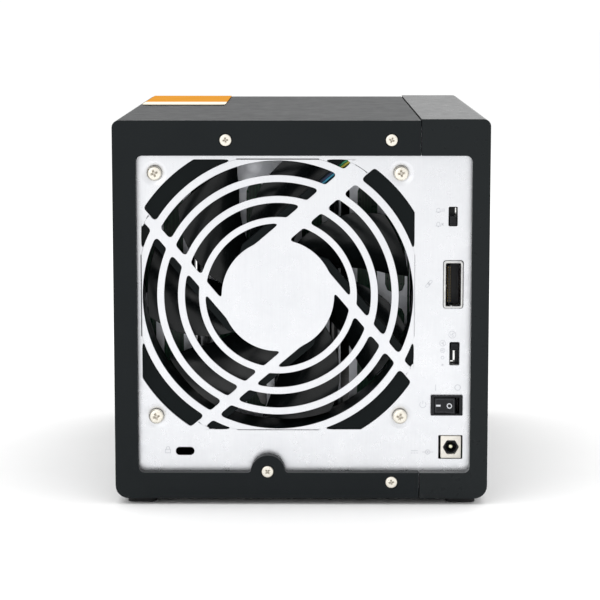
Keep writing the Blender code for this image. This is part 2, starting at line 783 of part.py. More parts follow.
def front():
    inside = FRONT + BEZEL_DEPTH
    outline = rounded(SEAM_X, FLOOR, RIGHT, MAIN_TOP, (0, BOTTOM_ROUND, TOP_ROUND, 0), 6)
    low_x, low_z, high_x, high_z = WINDOW
    window = rounded(low_x, low_z, high_x, high_z, 1.5, 3)
    bezel = as_mesh(plate("front_bezel", "XZ", [outline, window], FRONT, inside, black_plastic()))
    soften(bezel, 0.9)

    side = SEAM_X - GAP
    outline = rounded(LEFT, FLOOR, side, HEIGHT, (BOTTOM_ROUND, 0, 0, TOP_ROUND), 6)
    middle = (LEFT + side) / 2
    window = (middle, 104.0, 7.0, 78.0)
    panel = as_mesh(plate("control_panel", "XZ", [outline, centred(window, 0.0, 2.0)],
                          FRONT, inside, black_plastic()))
    soften(panel, 0.5)
    lens = as_mesh(plate("indicator_window", "XZ", [centred(window, -GAP, 1.8)],
                         FRONT + 0.4, inside - 0.4, material("smoked_lens", (0.05, 0.05, 0.06), 0.15)))
    soften(lens, 0.4)


def tray(number, middle):
    name = f"tray_{number}"
    frame = box(name, (middle - TRAY_HALF, TRAY_FACE, TRAY_LOW),
                (middle + TRAY_HALF, TRAY_PLATE_BACK, TRAY_HIGH), black_plastic())
    soften(frame, 0.8)
    join(frame, box(f"{name}_channel", (middle + CHANNEL_LEFT, TRAY_PLATE_BACK - 2, CAGE_LOW + GAP),
                    (middle + CHANNEL_RIGHT, TRAY_BACK, CAGE_HIGH - GAP - 0.2)))
    cut(frame, box(f"{name}_bay", (middle + CHANNEL_LEFT + 1.5, TRAY_PLATE_BACK + 1, DRIVE_LOW),
                   (middle + CHANNEL_RIGHT + 5, TRAY_BACK + 5, DRIVE_HIGH)))
    recess = LEVER_HALF + 0.6
    floor = TRAY_FACE + LEVER_THICK + GAP
    pivot_y, pivot_z = LEVER_PIVOT
    cut(frame, box(f"{name}_recess", (middle - recess, TRAY_FACE - 5, pivot_z - LEVER_THICK / 2 - GAP),
                   (middle + recess, floor, LEVER_RECESS_TOP)))
    cut(frame, cylinder(f"{name}_pivot_hole", 1.5, (middle - 14.1, pivot_y, pivot_z),
                        (middle + 14.1, pivot_y, pivot_z), (1, 0, 0), None, 16))
    for side in (-6.0, 0.0, 6.0):
        cut(frame, box(f"{name}_vent_{side:.0f}", (middle + side - 1.7, TRAY_FACE - 5, 40.0),
                       (middle + side + 1.7, TRAY_PLATE_BACK + 3, 100.0)))


def lever(number, middle):
    name = f"lever_{number}"
    pivot_y, pivot_z = LEVER_PIVOT
    half = LEVER_THICK / 2
    outline = arc((pivot_y, pivot_z), half, 180, 360, 10)
    outline += [(pivot_y + half, LEVER_TOP), (pivot_y - half, LEVER_TOP)]
    arm = as_mesh(plate(name, "YZ", [outline], middle - LEVER_HALF, middle + LEVER_HALF,
                        black_plastic()))
    move_origin(arm, (middle, pivot_y, pivot_z))
    soften(arm, 0.6)
    join(arm, cylinder(f"{name}_pins", 1.2, (middle - 13.8, pivot_y, pivot_z),
                       (middle + 13.8, pivot_y, pivot_z), (1, 0, 0), None, 16))
    for side in (-6.0, 0.0, 6.0):
        cut(arm, box(f"{name}_vent_{side:.0f}", (middle + side - 1.7, TRAY_FACE - 5, 40.0),
                     (middle + side + 1.7, TRAY_PLATE_BACK, 100.0)))


def trays():
    for i in range(BAYS):
        middle = BAY_LEFT + (i + 0.5) * BAY_PITCH
        tray(i + 1, middle)
        lever(i + 1, middle)


# ---------------------------------------------------------------- feet and label

FOOT_WIDE = 12.5
FOOT_LONG = 25.0
FOOT_IN_X = 4.7
FOOT_IN_Y = 5.0


def feet():
    rubber = material("rubber", (0.03, 0.03, 0.032), 0.8)
    number = 0
    for sx in (1, -1):
        for sy in (1, -1):
            number += 1
            x = sx * (RIGHT - FOOT_IN_X - FOOT_WIDE / 2)
            y = sy * (REAR - FOOT_IN_Y - FOOT_LONG / 2)
            outline = rounded(x - FOOT_WIDE / 2, y - FOOT_LONG / 2, x + FOOT_WIDE / 2,
                              y + FOOT_LONG / 2, 3.0)
            foot = as_mesh(plate(f"foot_{number}", "XY", [outline], 0.0, FOOT_HEIGHT, rubber))
            soften(foot, 0.4)


def top_label():
    outline = rounded(37.0, COVER_FRONT + 0.6, 76.6, -16.0, (0.4, 0.4, 3.0, 3.0))
    plate("top_label", "XY", [outline], MAIN_TOP + GAP, HEIGHT, material("label", (0.86, 0.39, 0.06), 0.5))


def build():
    global parts, cutters
    clear_scene()
    parts = new_collection("nas_enclosure")
    cutters = new_collection("cutters")
    covers()
    rear_panel()
    screws()
    fan()
    fan_cable()
    data_link()
    power_inlet()
    rocker_switch()
    switches()
    boards()
    drive_cage()
    front()
    trays()
    feet()
    top_label()


build()
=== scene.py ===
"""The looks of the four-bay storage enclosure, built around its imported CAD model.

X runs across the width, Y from the drive trays at the front (-Y) to the fan and the sockets at
the rear (+Y), and Z up from the table. Sizes are in millimetres, and MM turns them into metres.
"""
import json
import math

import bmesh
import bpy
from mathutils import Matrix, Vector


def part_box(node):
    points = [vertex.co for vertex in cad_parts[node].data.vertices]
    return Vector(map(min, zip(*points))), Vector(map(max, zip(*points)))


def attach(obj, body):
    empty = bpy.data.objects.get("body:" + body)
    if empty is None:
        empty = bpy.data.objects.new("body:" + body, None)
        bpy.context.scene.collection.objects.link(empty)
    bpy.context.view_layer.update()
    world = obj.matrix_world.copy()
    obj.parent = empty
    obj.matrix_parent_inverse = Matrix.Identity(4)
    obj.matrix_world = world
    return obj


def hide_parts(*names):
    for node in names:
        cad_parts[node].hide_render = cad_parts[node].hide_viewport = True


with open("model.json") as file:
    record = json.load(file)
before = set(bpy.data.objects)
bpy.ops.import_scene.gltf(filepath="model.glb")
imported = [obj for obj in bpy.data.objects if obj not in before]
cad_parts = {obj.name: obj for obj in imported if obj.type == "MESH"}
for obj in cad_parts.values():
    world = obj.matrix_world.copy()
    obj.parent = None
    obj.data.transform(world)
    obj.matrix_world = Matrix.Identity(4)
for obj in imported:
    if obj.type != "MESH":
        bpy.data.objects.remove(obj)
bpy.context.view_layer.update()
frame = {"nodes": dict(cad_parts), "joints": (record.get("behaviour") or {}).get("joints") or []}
NODES = frame["nodes"]

MM = 0.001
# Bays, feet and the screws of each kind are all numbered 1 to 4
BAYS = range(1, 5)


def node_box(name):
    """A node's lowest and highest corners in millimetres."""
    low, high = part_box(name)
    return [a / MM for a in low], [b / MM for b in high]


def node_centre(name):
    low, high = node_box(name)
    return [(a + b) / 2 for a, b in zip(low, high)]


# The fan's axis and the punched grille round it, as the CAD has them. Each spoke runs outward
# along a line that passes the axis at a distance, at SPOKE_ANGLE from level. RINGS are the
# inner and outer radii of the ring slots, and LAST_RING those of the outermost slots.
FAN_X, _, FAN_Z = node_centre("fan_frame")
FAN_HOLES = 52.5
SPOKE_ANGLE = 40.3
SPOKE_OUTER = 23.2
SPOKE_INNER = 19.3
WIDE_SPOKE_INNER = 15.1
RINGS = ((24.1, 31.0), (33.8, 39.8), (42.8, 48.7), (51.7, 57.9))
LAST_RING = (61.1, 68.4)
GRILLE_HALF = 58.3
SLOT_ROUND = 1.7

# The grille is raised from the sheet by GRILLE_RISE, with a sloped edge GRILLE_SLOPE wide. The
# sheet's own hole has the radius SHEET_HOLE, so the grille laps over its rim.
PANEL_FRONT = node_box("rear_panel")[0][1]
PANEL_REAR = node_box("rear_panel")[1][1]
GRILLE_RISE = 0.34
GRILLE_SLOPE = 0.18
GRILLE_REACH = 65.0
GRILLE_LAP = 0.02
SHEET_HOLE = 58.2
SHEET_EDGE = 0.16
GRILLE_EDGE = 0.1


# ---------------------------------------------------------------- materials

EVEN = (1.0, 1.0, 1.0)


class Look:
    """A node material on a Principled shader, with short helpers for its textures."""

    def __init__(self, name, colour, roughness, metallic=0.0, specular=0.5):
        self.material = bpy.data.materials.new(name)
        self.material.use_nodes = True
        self.tree = self.material.node_tree
        self.shader = self.tree.nodes["Principled BSDF"]
        self.set("Base Color", (*colour, 1.0))
        self.set("Roughness", roughness)
        self.set("Metallic", metallic)
        self.set("Specular IOR Level", specular)
        self.material.diffuse_color = (*colour, 1.0)
        self.bump = None

    def set(self, socket, value):
        self.shader.inputs[socket].default_value = value

    def node(self, kind, inputs=None, **settings):
        """A new node, with its inputs' values and its own settings."""
        made = self.tree.nodes.new(kind)
        for key, value in settings.items():
            setattr(made, key, value)
        for key, value in (inputs or {}).items():
            made.inputs[key].default_value = value
        return made

    def link(self, start, end):
        self.tree.links.new(start, end)

    def texture(self, kind, inputs, stretch=EVEN, **settings):
        """A texture node in object coordinates, in millimetres stretched by a scale."""
        made = self.node(kind, inputs, **settings)
        self.link(self.place(stretch), made.inputs["Vector"])
        return made

    def place(self, scale=EVEN):
        coordinates = self.node("ShaderNodeTexCoord")
        mapping = self.node("ShaderNodeMapping", {"Scale": [s / MM for s in scale]})
        self.link(coordinates.outputs["Object"], mapping.inputs["Vector"])
        return mapping.outputs["Vector"]

    def noise(self, size, detail=3.0, stretch=EVEN, roughness=0.55):
        """Noise whose blotches are about size millimetres across."""
        inputs = {"Detail": detail, "Roughness": roughness, "Scale": 1.0 / size}
        return self.texture("ShaderNodeTexNoise", inputs, stretch).outputs["Fac"]

    def ramp(self, value, low, high, start=0.3, end=0.7):
        """Turns a texture value into a number between low and high."""
        made = self.node("ShaderNodeMapRange", {"From Min": start, "From Max": end,
                                                "To Min": low, "To Max": high})
        self.link(value, made.inputs["Value"])
        return made.outputs["Result"]

    def blend(self, factor, colour_a, colour_b):
        """Mixes two colours, or sockets, by a factor socket."""
        made = self.node("ShaderNodeMix", data_type="RGBA")
        self.link(factor, made.inputs[0])
        for socket, colour in ((made.inputs[6], colour_a), (made.inputs[7], colour_b)):
            if isinstance(colour, tuple):
                socket.default_value = (*colour, 1.0)
            else:
                self.link(colour, socket)
        return made.outputs[2]

    def colour(self, socket):
        self.link(socket, self.shader.inputs["Base Color"])

    def rough(self, socket):
        self.link(socket, self.shader.inputs["Roughness"])

    def raised(self, height, depth):
        """Adds a bump of the given depth in millimetres over the bumps that are already there."""
        made = self.node("ShaderNodeBump", {"Strength": 1.0, "Distance": depth * MM})
        self.link(height, made.inputs["Height"])
        if self.bump:
            self.link(self.bump, made.inputs["Normal"])
        self.bump = made.outputs["Normal"]
        self.link(self.bump, self.shader.inputs["Normal"])


def surface(name, colour, roughness, metallic=0.0, specular=0.5, tint=None, rough=None,
            grain=None):
    """A material with up to three kinds of noise, each given by its size and its detail: tint
    has two colours to vary between, rough the least and most roughness, and grain the depth of
    a bump in millimetres."""
    look = Look(name, colour, roughness, metallic, specular)
    if tint:
        size, detail, first, second = tint
        cloud = look.ramp(look.noise(size, detail), 0.0, 1.0)
        look.colour(look.blend(cloud, first, second))
    if rough:
        size, detail, least, most = rough
        look.rough(look.ramp(look.noise(size, detail), least, most))
    if grain:
        size, detail, depth = grain
        look.raised(look.noise(size, detail), depth)
    return look.material


def shell_plastic():
    """Matt black housing with a fine moulded grain."""
    look = Look("shell_plastic", (0.0046, 0.0070, 0.0082), 0.5, 0.0, 0.16)
    blotch = look.noise(24.0, 4.0)
    look.colour(look.blend(look.ramp(blotch, 0.0, 1.0), (0.0040, 0.0062, 0.0074),
                           (0.0054, 0.0078, 0.0090)))
    look.rough(look.ramp(look.noise(6.0, 5.0), 0.44, 0.52))
    cells = look.texture("ShaderNodeTexVoronoi", {"Scale": 1.0 / 0.55}, feature="SMOOTH_F1")
    look.raised(cells.outputs["Distance"], 0.018)
    look.raised(look.noise(0.25, 2.0), 0.008)
    return look.material


def bare_sheet():
    """Zinc coated steel sheet: fine vertical rolling lines and faint clouds."""
    look = Look("bare_sheet", (0.755, 0.764, 0.785), 0.34, 1.0)
    cloud = look.noise(26.0, 5.0, roughness=0.6)
    streak = look.noise(0.5, 3.0, (1.0, 1.0, 0.03))
    smudge = look.noise(5.0, 4.0, roughness=0.65)
    base = look.blend(look.ramp(cloud, 0.0, 1.0, 0.35, 0.65), (0.735, 0.745, 0.768),
                      (0.775, 0.783, 0.803))
    marked = look.blend(look.ramp(smudge, 0.0, 0.10, 0.55, 0.75), base, (0.60, 0.61, 0.64))
    look.colour(look.blend(look.ramp(streak, 0.0, 0.14, 0.4, 0.7), marked, (0.62, 0.63, 0.66)))
    look.rough(look.ramp(smudge, 0.25, 0.34))
    look.raised(streak, 0.004)
    return look.material


def cage_sheet():
    """The galvanised sheet of the drive cage, with a faint spangle."""
    look = Look("cage_sheet", (0.62, 0.64, 0.67), 0.34, 1.0)
    spangle = look.texture("ShaderNodeTexVoronoi", {"Scale": 1.0 / 5.0}, feature="F1")
    look.colour(look.blend(spangle.outputs["Color"], (0.56, 0.58, 0.62), (0.70, 0.71, 0.74)))
    look.rough(look.ramp(spangle.outputs["Distance"], 0.28, 0.42, 0.0, 0.8))
    look.raised(look.noise(0.8, 3.0), 0.006)
    return look.material


def nickel():
    """Screw heads: warm nickel plate with fine turning marks, and painted shade that darkens the
    colour in the hollows.
    """
    look = Look("nickel", (0.80, 0.755, 0.66), 0.30, 0.72)
    # Ambient occlusion darkens the base colour in the cross recess and other hollows: painted
    # shade.
    painted_hollow_shade = look.node("ShaderNodeAmbientOcclusion", {"Distance": 1.2 * MM}, samples=8)
    look.colour(look.blend(look.ramp(painted_hollow_shade.outputs["AO"], 0.0, 1.0, 0.35, 0.9),
                           (0.36, 0.32, 0.27), (0.84, 0.80, 0.71)))
    look.rough(look.ramp(look.noise(0.7, 3.0), 0.26, 0.38))
    look.raised(look.noise(0.4, 3.0), 0.006)
    return look.material


def circuit_green():
    """A green board with fine copper tracks under its lacquer."""
    green = (0.006, 0.045, 0.022)
    look = Look("circuit_green", green, 0.3)
    bricks = look.texture("ShaderNodeTexBrick", {
        "Scale": 0.35, "Mortar Size": 0.03, "Color1": (*green, 1.0),
        "Color2": (0.010, 0.060, 0.030, 1.0), "Mortar": (0.03, 0.13, 0.06, 1.0)},
        offset=0.5, squash=1.0)
    look.colour(bricks.outputs["Color"])
    look.rough(look.ramp(look.noise(4.0, 4.0), 0.24, 0.38))
    look.raised(bricks.outputs["Fac"], 0.03)
    return look.material


def winding_copper():
    """The motor's fixed part, with the fine rings of its winding."""
    look = Look("winding_copper", (0.55, 0.22, 0.08), 0.34, 1.0)
    wire = look.texture("ShaderNodeTexWave", {"Scale": 0.5}, wave_type="RINGS",
                        rings_direction="Y")
    look.colour(look.blend(wire.outputs["Fac"], (0.30, 0.10, 0.04), (0.66, 0.30, 0.12)))
    look.raised(wire.outputs["Fac"], 0.1)
    return look.material


def smoked_lens():
    look = Look("smoked_lens", (0.008, 0.009, 0.011), 0.08, 0.0, 0.5)
    look.rough(look.ramp(look.noise(9.0, 4.0), 0.05, 0.12))
    look.set("Coat Weight", 0.6)
    look.set("Coat Roughness", 0.05)
    return look.material


def top_label_print():
    """An orange sticker with a pale strip across its rear end."""
    look = Look("top_label_print", (0.62, 0.28, 0.043), 0.6, 0.0, 0.0)
    split = look.node("ShaderNodeSeparateXYZ")
    look.link(look.place(), split.inputs["Vector"])
    rear = node_box("top_label")[1][1]
    strip = look.ramp(split.outputs["Y"], 0.0, 1.0, rear - 23.2, rear - 23.0)
    warm = look.blend(look.ramp(look.noise(9.0, 3.0), 0.0, 1.0), (0.64, 0.285, 0.046),
                      (0.60, 0.258, 0.034))
    look.colour(look.blend(strip, warm, (0.93, 0.84, 0.67)))
    look.rough(look.ramp(look.noise(1.0, 3.0), 0.55, 0.66))
    look.raised(look.noise(0.5, 3.0), 0.004)
    return look.material


def cable_sleeve(name, colour):
    """The insulation of one thin wire."""
    darker = tuple(part * 0.8 for part in colour)
    return surface(name, colour, 0.38, tint=(1.5, 3.0, colour, darker), rough=(0.8, 3.0, 0.3, 0.45))


def print_ink(name, colour):
    """Screen printed ink: flat, slightly uneven."""
    pale = tuple(min(1.0, part * 1.15) for part in colour)
    return surface(name, colour, 0.6, tint=(0.6, 4.0, colour, pale), grain=(0.3, 2.0, 0.004))


# The plain materials, as surface() takes them: colour, roughness, metallic, specular level,
# and then tint, rough and grain
PLAIN = {
    # The narrow cover beside the housing, which is smoother and shines more
    "satin_plastic": ((0.0055, 0.0080, 0.0090), 0.3, 0.0, 0.19, None, (5.0, 5.0, 0.26, 0.34),
                      (0.5, 2.0, 0.004)),
    "bezel_plastic": ((0.0100, 0.0115, 0.0125), 0.36, 0.0, 0.4, None, (8.0, 4.0, 0.32, 0.42),
                      (0.4, 2.0, 0.005)),
    "lever_plastic": ((0.0130, 0.0142, 0.0155), 0.3, 0.0, 0.45, None, (5.0, 4.0, 0.26, 0.36),
                      (0.35, 2.0, 0.004)),
    "fan_plastic": ((0.0050, 0.0066, 0.0072), 0.22, 0.0, 0.3, None, (4.0, 4.0, 0.17, 0.27),
                    (1.2, 2.0, 0.006)),
    "frame_plastic": ((0.0022, 0.0044, 0.0050), 0.42, 0.0, 0.11, None, (5.0, 4.0, 0.36, 0.46),
                      (0.4, 2.0, 0.006)),
    "switch_black": ((0.0095, 0.0105, 0.0125), 0.34, 0.0, 0.22, None, (3.0, 4.0, 0.28, 0.40),
                     (0.3, 2.0, 0.006)),
    "chip_black": ((0.014, 0.014, 0.015), 0.5, 0.0, 0.5, None, (1.2, 4.0, 0.42, 0.58),
                   (0.2, 3.0, 0.012)),
    "white_plastic": ((0.74, 0.72, 0.66), 0.45, 0.0, 0.5, None, (2.0, 3.0, 0.38, 0.52),
                      (0.4, 2.0, 0.006)),
    "ivory": ((0.80, 0.77, 0.70), 0.42, 0.0, 0.5,
              (3.0, 4.0, (0.77, 0.735, 0.66), (0.84, 0.81, 0.74)), (1.5, 3.0, 0.36, 0.5),
              (0.4, 2.0, 0.008)),
    "rubber": ((0.016, 0.016, 0.017), 0.75, 0.0, 0.3,
               (2.0, 5.0, (0.012, 0.012, 0.013), (0.022, 0.022, 0.023)), (1.0, 4.0, 0.66, 0.84),
               (0.35, 3.0, 0.03)),
    # The power inlet's pin: pale yellow plate
    "pin_metal": ((0.74, 0.74, 0.52), 0.3, 1.0, 0.5,
                  (0.8, 3.0, (0.66, 0.67, 0.46), (0.80, 0.80, 0.60)), (0.6, 3.0, 0.24, 0.38)),
    "connector_steel": ((0.62, 0.62, 0.61), 0.3, 1.0, 0.5,
                        (2.2, 4.0, (0.50, 0.50, 0.50), (0.72, 0.72, 0.70)),
                        (1.4, 3.0, 0.24, 0.38), (0.6, 3.0, 0.005)),
    # A tinned spring strip at the bottom of a switch
    "bright_strip": ((0.93, 0.93, 0.91), 0.16, 1.0, 0.5,
                     (0.9, 3.0, (0.90, 0.90, 0.88), (0.95, 0.95, 0.93)), (0.5, 3.0, 0.12, 0.22)),
    "gold_contact": ((0.83, 0.60, 0.22), 0.28, 1.0, 0.5, None, (0.6, 3.0, 0.2, 0.36)),
    "floor_paint": ((0.97, 0.97, 0.97), 0.7, 0.0, 0.0,
                    (60.0, 3.0, (0.96, 0.96, 0.96), (0.98, 0.98, 0.98))),
}


def plain(name):
    return surface(name, *PLAIN[name])


# ---------------------------------------------------------------- mesh helpers

# Takes (a, b, depth) to (X, Y, Z): an outline's two numbers run along X and Z, its depth along Y
UPRIGHT = Matrix(((1, 0, 0, 0), (0, 0, 1, 0), (0, 1, 0, 0), (0, 0, 0, 1)))


# A ribbon's sharp corners stay shorter than its width over this
LEAST_MITRE = 0.4


def put(name, data, place=(0.0, 0.0, 0.0), aim=None):
    """Puts an object in the scene, turned so that it looks along aim."""
    made = bpy.data.objects.new(name, data)
    made.location = place
    if aim:
        made.rotation_euler = aim.to_track_quat("-Z", "Y").to_euler()
    bpy.context.scene.collection.objects.link(made)
    return made


def round_edges(made, edges, amount, steps):
    bmesh.ops.bevel(made, geom=edges, offset=amount, segments=steps, profile=0.5, affect="EDGES")


def turn_to(direction):
    """The rotation that takes +Z to a direction."""
    return Vector(direction).to_track_quat("Z", "Y").to_matrix().to_4x4()


class Shape:
    """A mesh built up in millimetres from simple closed forms."""

    def __init__(self):
        self.mesh = bmesh.new()

    def add(self, made, matrix=None):
        """Adds a closed form, moved by a matrix, with its faces turned outward."""
        if matrix:
            bmesh.ops.transform(made, matrix=matrix, verts=made.verts)
        bmesh.ops.recalc_face_normals(made, faces=made.faces)
        data = bpy.data.meshes.new("form")
        made.to_mesh(data)
        made.free()
        self.mesh.from_mesh(data)
        bpy.data.meshes.remove(data)
        return self

    def block(self, low, high, edge=0.0, steps=2):
        """A block between two corners, with rounded edges."""
        made = bmesh.new()
        bmesh.ops.create_cube(made, size=1.0)
        for vert in made.verts:
            vert.co = [(a + b) / 2 + c * (b - a) for a, b, c in zip(low, high, vert.co)]
        if edge:
            round_edges(made, made.edges[:], edge, steps)
        return self.add(made)

    def turned(self, profile, place, direction, steps=48):
        """A turned form. profile is (radius, height) pairs, and height runs along direction."""
        made = bmesh.new()
        verts = [made.verts.new((radius, 0.0, height)) for radius, height in profile]
        edges = [made.edges.new(pair) for pair in zip(verts, verts[1:])]
        bmesh.ops.spin(made, geom=verts + edges, cent=(0, 0, 0), axis=(0, 0, 1),
                       angle=2 * math.pi, steps=steps)
        bmesh.ops.remove_doubles(made, verts=made.verts, dist=0.0005)
        return self.add(made, Matrix.Translation(place) @ turn_to(direction))

    def prism(self, outline, low, high):
        """An upright outline, thickened between two places along Y."""
        made = bmesh.new()
        face = made.faces.new([made.verts.new((a, b, low)) for a, b in outline])
        lifted = bmesh.ops.extrude_face_region(made, geom=[face])["geom"]
        for vert in lifted:
            if isinstance(vert, bmesh.types.BMVert):
                vert.co.z = high
        return self.add(made, UPRIGHT)

    def tube(self, points, radius, sides=12):
        """A round tube with closed ends along a list of points."""
        made = bmesh.new()
        points = [Vector(p) for p in points]
        rings = []
        side = None
        for i, point in enumerate(points):
            ahead = (points[min(i + 1, len(points) - 1)] - points[max(i - 1, 0)]).normalized()
            side = side or ahead.orthogonal().normalized()
            side = (side - ahead * side.dot(ahead)).normalized()
            up = ahead.cross(side)
            turns = [2 * math.pi * k / sides for k in range(sides)]
            rings.append([made.verts.new(point + (side * math.cos(t) + up * math.sin(t)) * radius)
                          for t in turns])
        for first, second in zip(rings, rings[1:]):
            for k in range(sides):
                made.faces.new((first[k], first[(k + 1) % sides], second[(k + 1) % sides],
                                second[k]))
        made.faces.new(rings[0])
        made.faces.new(rings[-1])
        return self.add(made)

    def sheet(self, outlines, low, high, edge, steps=1):
        """An upright plate with holes: closed outlines, the first outside and the rest holes.
        Its edges are rounded by the given amount."""
        curve = bpy.data.curves.new("sheet", "CURVE")
        curve.dimensions = "2D"
        curve.fill_mode = "BOTH"
        curve.extrude = (high - low) / 2 - edge
        curve.bevel_depth = edge
        curve.bevel_resolution = steps
        curve.offset = -edge
        for outline in outlines:
            spline = curve.splines.new("POLY")
            spline.points.add(len(outline) - 1)
            spline.use_cyclic_u = True
            for point, (a, b) in zip(spline.points, outline):
                point.co = (a, b, 0.0, 1.0)
        helper = put("sheet", curve)
        bpy.context.view_layer.update()
        graph = bpy.context.evaluated_depsgraph_get()
        data = bpy.data.meshes.new_from_object(helper.evaluated_get(graph))
        bpy.data.objects.remove(helper)
        made = bmesh.new()
        made.from_mesh(data)
        bpy.data.meshes.remove(data)
        bmesh.ops.remove_doubles(made, verts=made.verts, dist=0.002)
        return self.add(made, UPRIGHT @ Matrix.Translation((0, 0, (low + high) / 2)))

    def ribbon(self, points, width, height, thick, closed=False, plane=UPRIGHT):
        """A thin printed line of one width through flat points. plane is a matrix that takes
        them to their place."""
        count = len(points)
        flat = [Vector(p) for p in points]
        left, right = [], []
        for i, point in enumerate(flat):
            before = flat[i - 1] if closed or i else point
            after = flat[(i + 1) % count] if closed or i < count - 1 else point
            normals = [Vector((-(b - a).y, (b - a).x)).normalized()
                       for a, b in ((before, point), (point, after)) if (b - a).length > 1e-6]
            normal = sum(normals, Vector((0, 0))).normalized()
            reach = width / 2 / max(LEAST_MITRE, normal.dot(normals[0]))
            left.append(point + normal * reach)
            right.append(point - normal * reach)
        made = bmesh.new()
        rows = [[made.verts.new((p.x, p.y, z)) for p in row]
                for z in (height, height + thick) for row in (left, right)]
        low_left, low_right, high_left, high_right = rows
        spans = range(count if closed else count - 1)
        for i in spans:
            k = (i + 1) % count
            for a, b in ((high_left, high_right), (low_right, low_left), (low_left, high_left),
                         (high_right, low_right)):
                made.faces.new((a[i], a[k], b[k], b[i]))
        if not closed:
            for i in (0, count - 1):
                made.faces.new((low_left[i], low_right[i], high_right[i], high_left[i]))
        return self.add(made, plane)

    def cut(self, other):
        """Takes another shape, a single closed form, out of this one."""
        helpers = []
        for shape in (self, other):
            data = bpy.data.meshes.new("form")
            shape.mesh.to_mesh(data)
            shape.mesh.free()
            helpers.append(put("form", data))
        modifier = helpers[0].modifiers.new("cut", "BOOLEAN")
        modifier.operation = "DIFFERENCE"
        modifier.object = helpers[1]
        modifier.solver = "EXACT"
        bpy.context.view_layer.update()
        graph = bpy.context.evaluated_depsgraph_get()
        data = bpy.data.meshes.new_from_object(helpers[0].evaluated_get(graph))
        for helper in helpers:
            bpy.data.objects.remove(helper)
        self.mesh = bmesh.new()
        self.mesh.from_mesh(data)
        bpy.data.meshes.remove(data)
        return self

    def finish(self, name, look, body, slot, smooth=35.0):
        """Turns the shape into a piece in metres that rides on a body. Edges sharper than
        smooth, in degrees, stay sharp."""
        data = bpy.data.meshes.new(name)
        self.mesh.to_mesh(data)
        self.mesh.free()
        data.transform(Matrix.Scale(MM, 4))
        data.materials.clear()
        data.materials.append(look)
        for face in data.polygons:
            face.material_index = 0
        data.shade_smooth()
        data.set_sharp_from_angle(angle=math.radians(smooth))
        made = put(name, data)
        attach(made, body)
        return made


def arc(centre, radius, start, end, steps):
    """Points on a circle from one angle to another, in degrees."""
    points = []
    for i in range(steps + 1):
        angle = math.radians(start + (end - start) * i / steps)
        points.append((centre[0] + radius * math.cos(angle), centre[1] + radius * math.sin(angle)))
    return points


def circle(centre, radius, steps=48):
    return arc(centre, radius, 0.0, 360.0, steps)[:-1]


def rounded(low_x, low_y, high_x, high_y, radius, steps=6):
    """A rectangle with round corners."""
    corners = ((low_x, low_y, 1, 1, 180), (high_x, low_y, -1, 1, 270),
               (high_x, high_y, -1, -1, 0), (low_x, high_y, 1, -1, 90))
    points = []
    for x, y, in_x, in_y, start in corners:
        points += arc((x + in_x * radius, y + in_y * radius), radius, start, start + 90, steps)
    return points


# ---------------------------------------------------------------- stage

CAMERA_PLACE = (-0.00514, 1.05119, 0.21926)
CAMERA_AIM = (0.0060, -1.0, -0.1382)
CAMERA_LENS = 133.97
SENSOR_WIDTH = 36.0
FLOOR_REACH = 12.0
SURROUNDINGS = 1.04
LIGHT_TARGET = (0.0, 0.0, 0.08)
# Name, place, width and height in metres, and power in watts
LIGHTS = (("overhead", (0.1, 0.2, 1.3), 1.6, 1.6, 6.0),
          ("rear_fill", (0.7, 1.3, 0.6), 1.0, 0.8, 2.0),
          ("front_fill", (-0.8, -1.4, 0.9), 1.2, 0.9, 4.0))


def camera():
    data = bpy.data.cameras.new("camera")
    data.sensor_width = SENSOR_WIDTH
    data.lens = CAMERA_LENS
    data.clip_start = 0.05
    bpy.context.scene.camera = put("camera", data, CAMERA_PLACE, Vector(CAMERA_AIM))


def soft_light(name, place, width, height, power):
    data = bpy.data.lights.new(name, "AREA")
    data.shape = "RECTANGLE"
    data.size = width
    data.size_y = height
    data.energy = power
    put(name, data, place, Vector(LIGHT_TARGET) - Vector(place))


def stage():
    """Plain white surroundings, shown without a film-like curve, so that white stays white."""
    camera()
    bpy.context.scene.view_settings.view_transform = "Standard"
    for light in LIGHTS:
        soft_light(*light)
    world = bpy.data.worlds.new("studio")
    world.use_nodes = True
    background = world.node_tree.nodes["Background"]
    background.inputs["Color"].default_value = (1.0, 1.0, 1.0, 1.0)
    background.inputs["Strength"].default_value = SURROUNDINGS
    bpy.context.scene.world = world
    data = bpy.data.meshes.new("floor")
    shape = bmesh.new()
    bmesh.ops.create_grid(shape, x_segments=1, y_segments=1, size=FLOOR_REACH)
    shape.to_mesh(data)
    shape.free()
    data.materials.append(plain("floor_paint"))
    floor = put("floor", data)


# ---------------------------------------------------------------- CAD nodes shown as they are

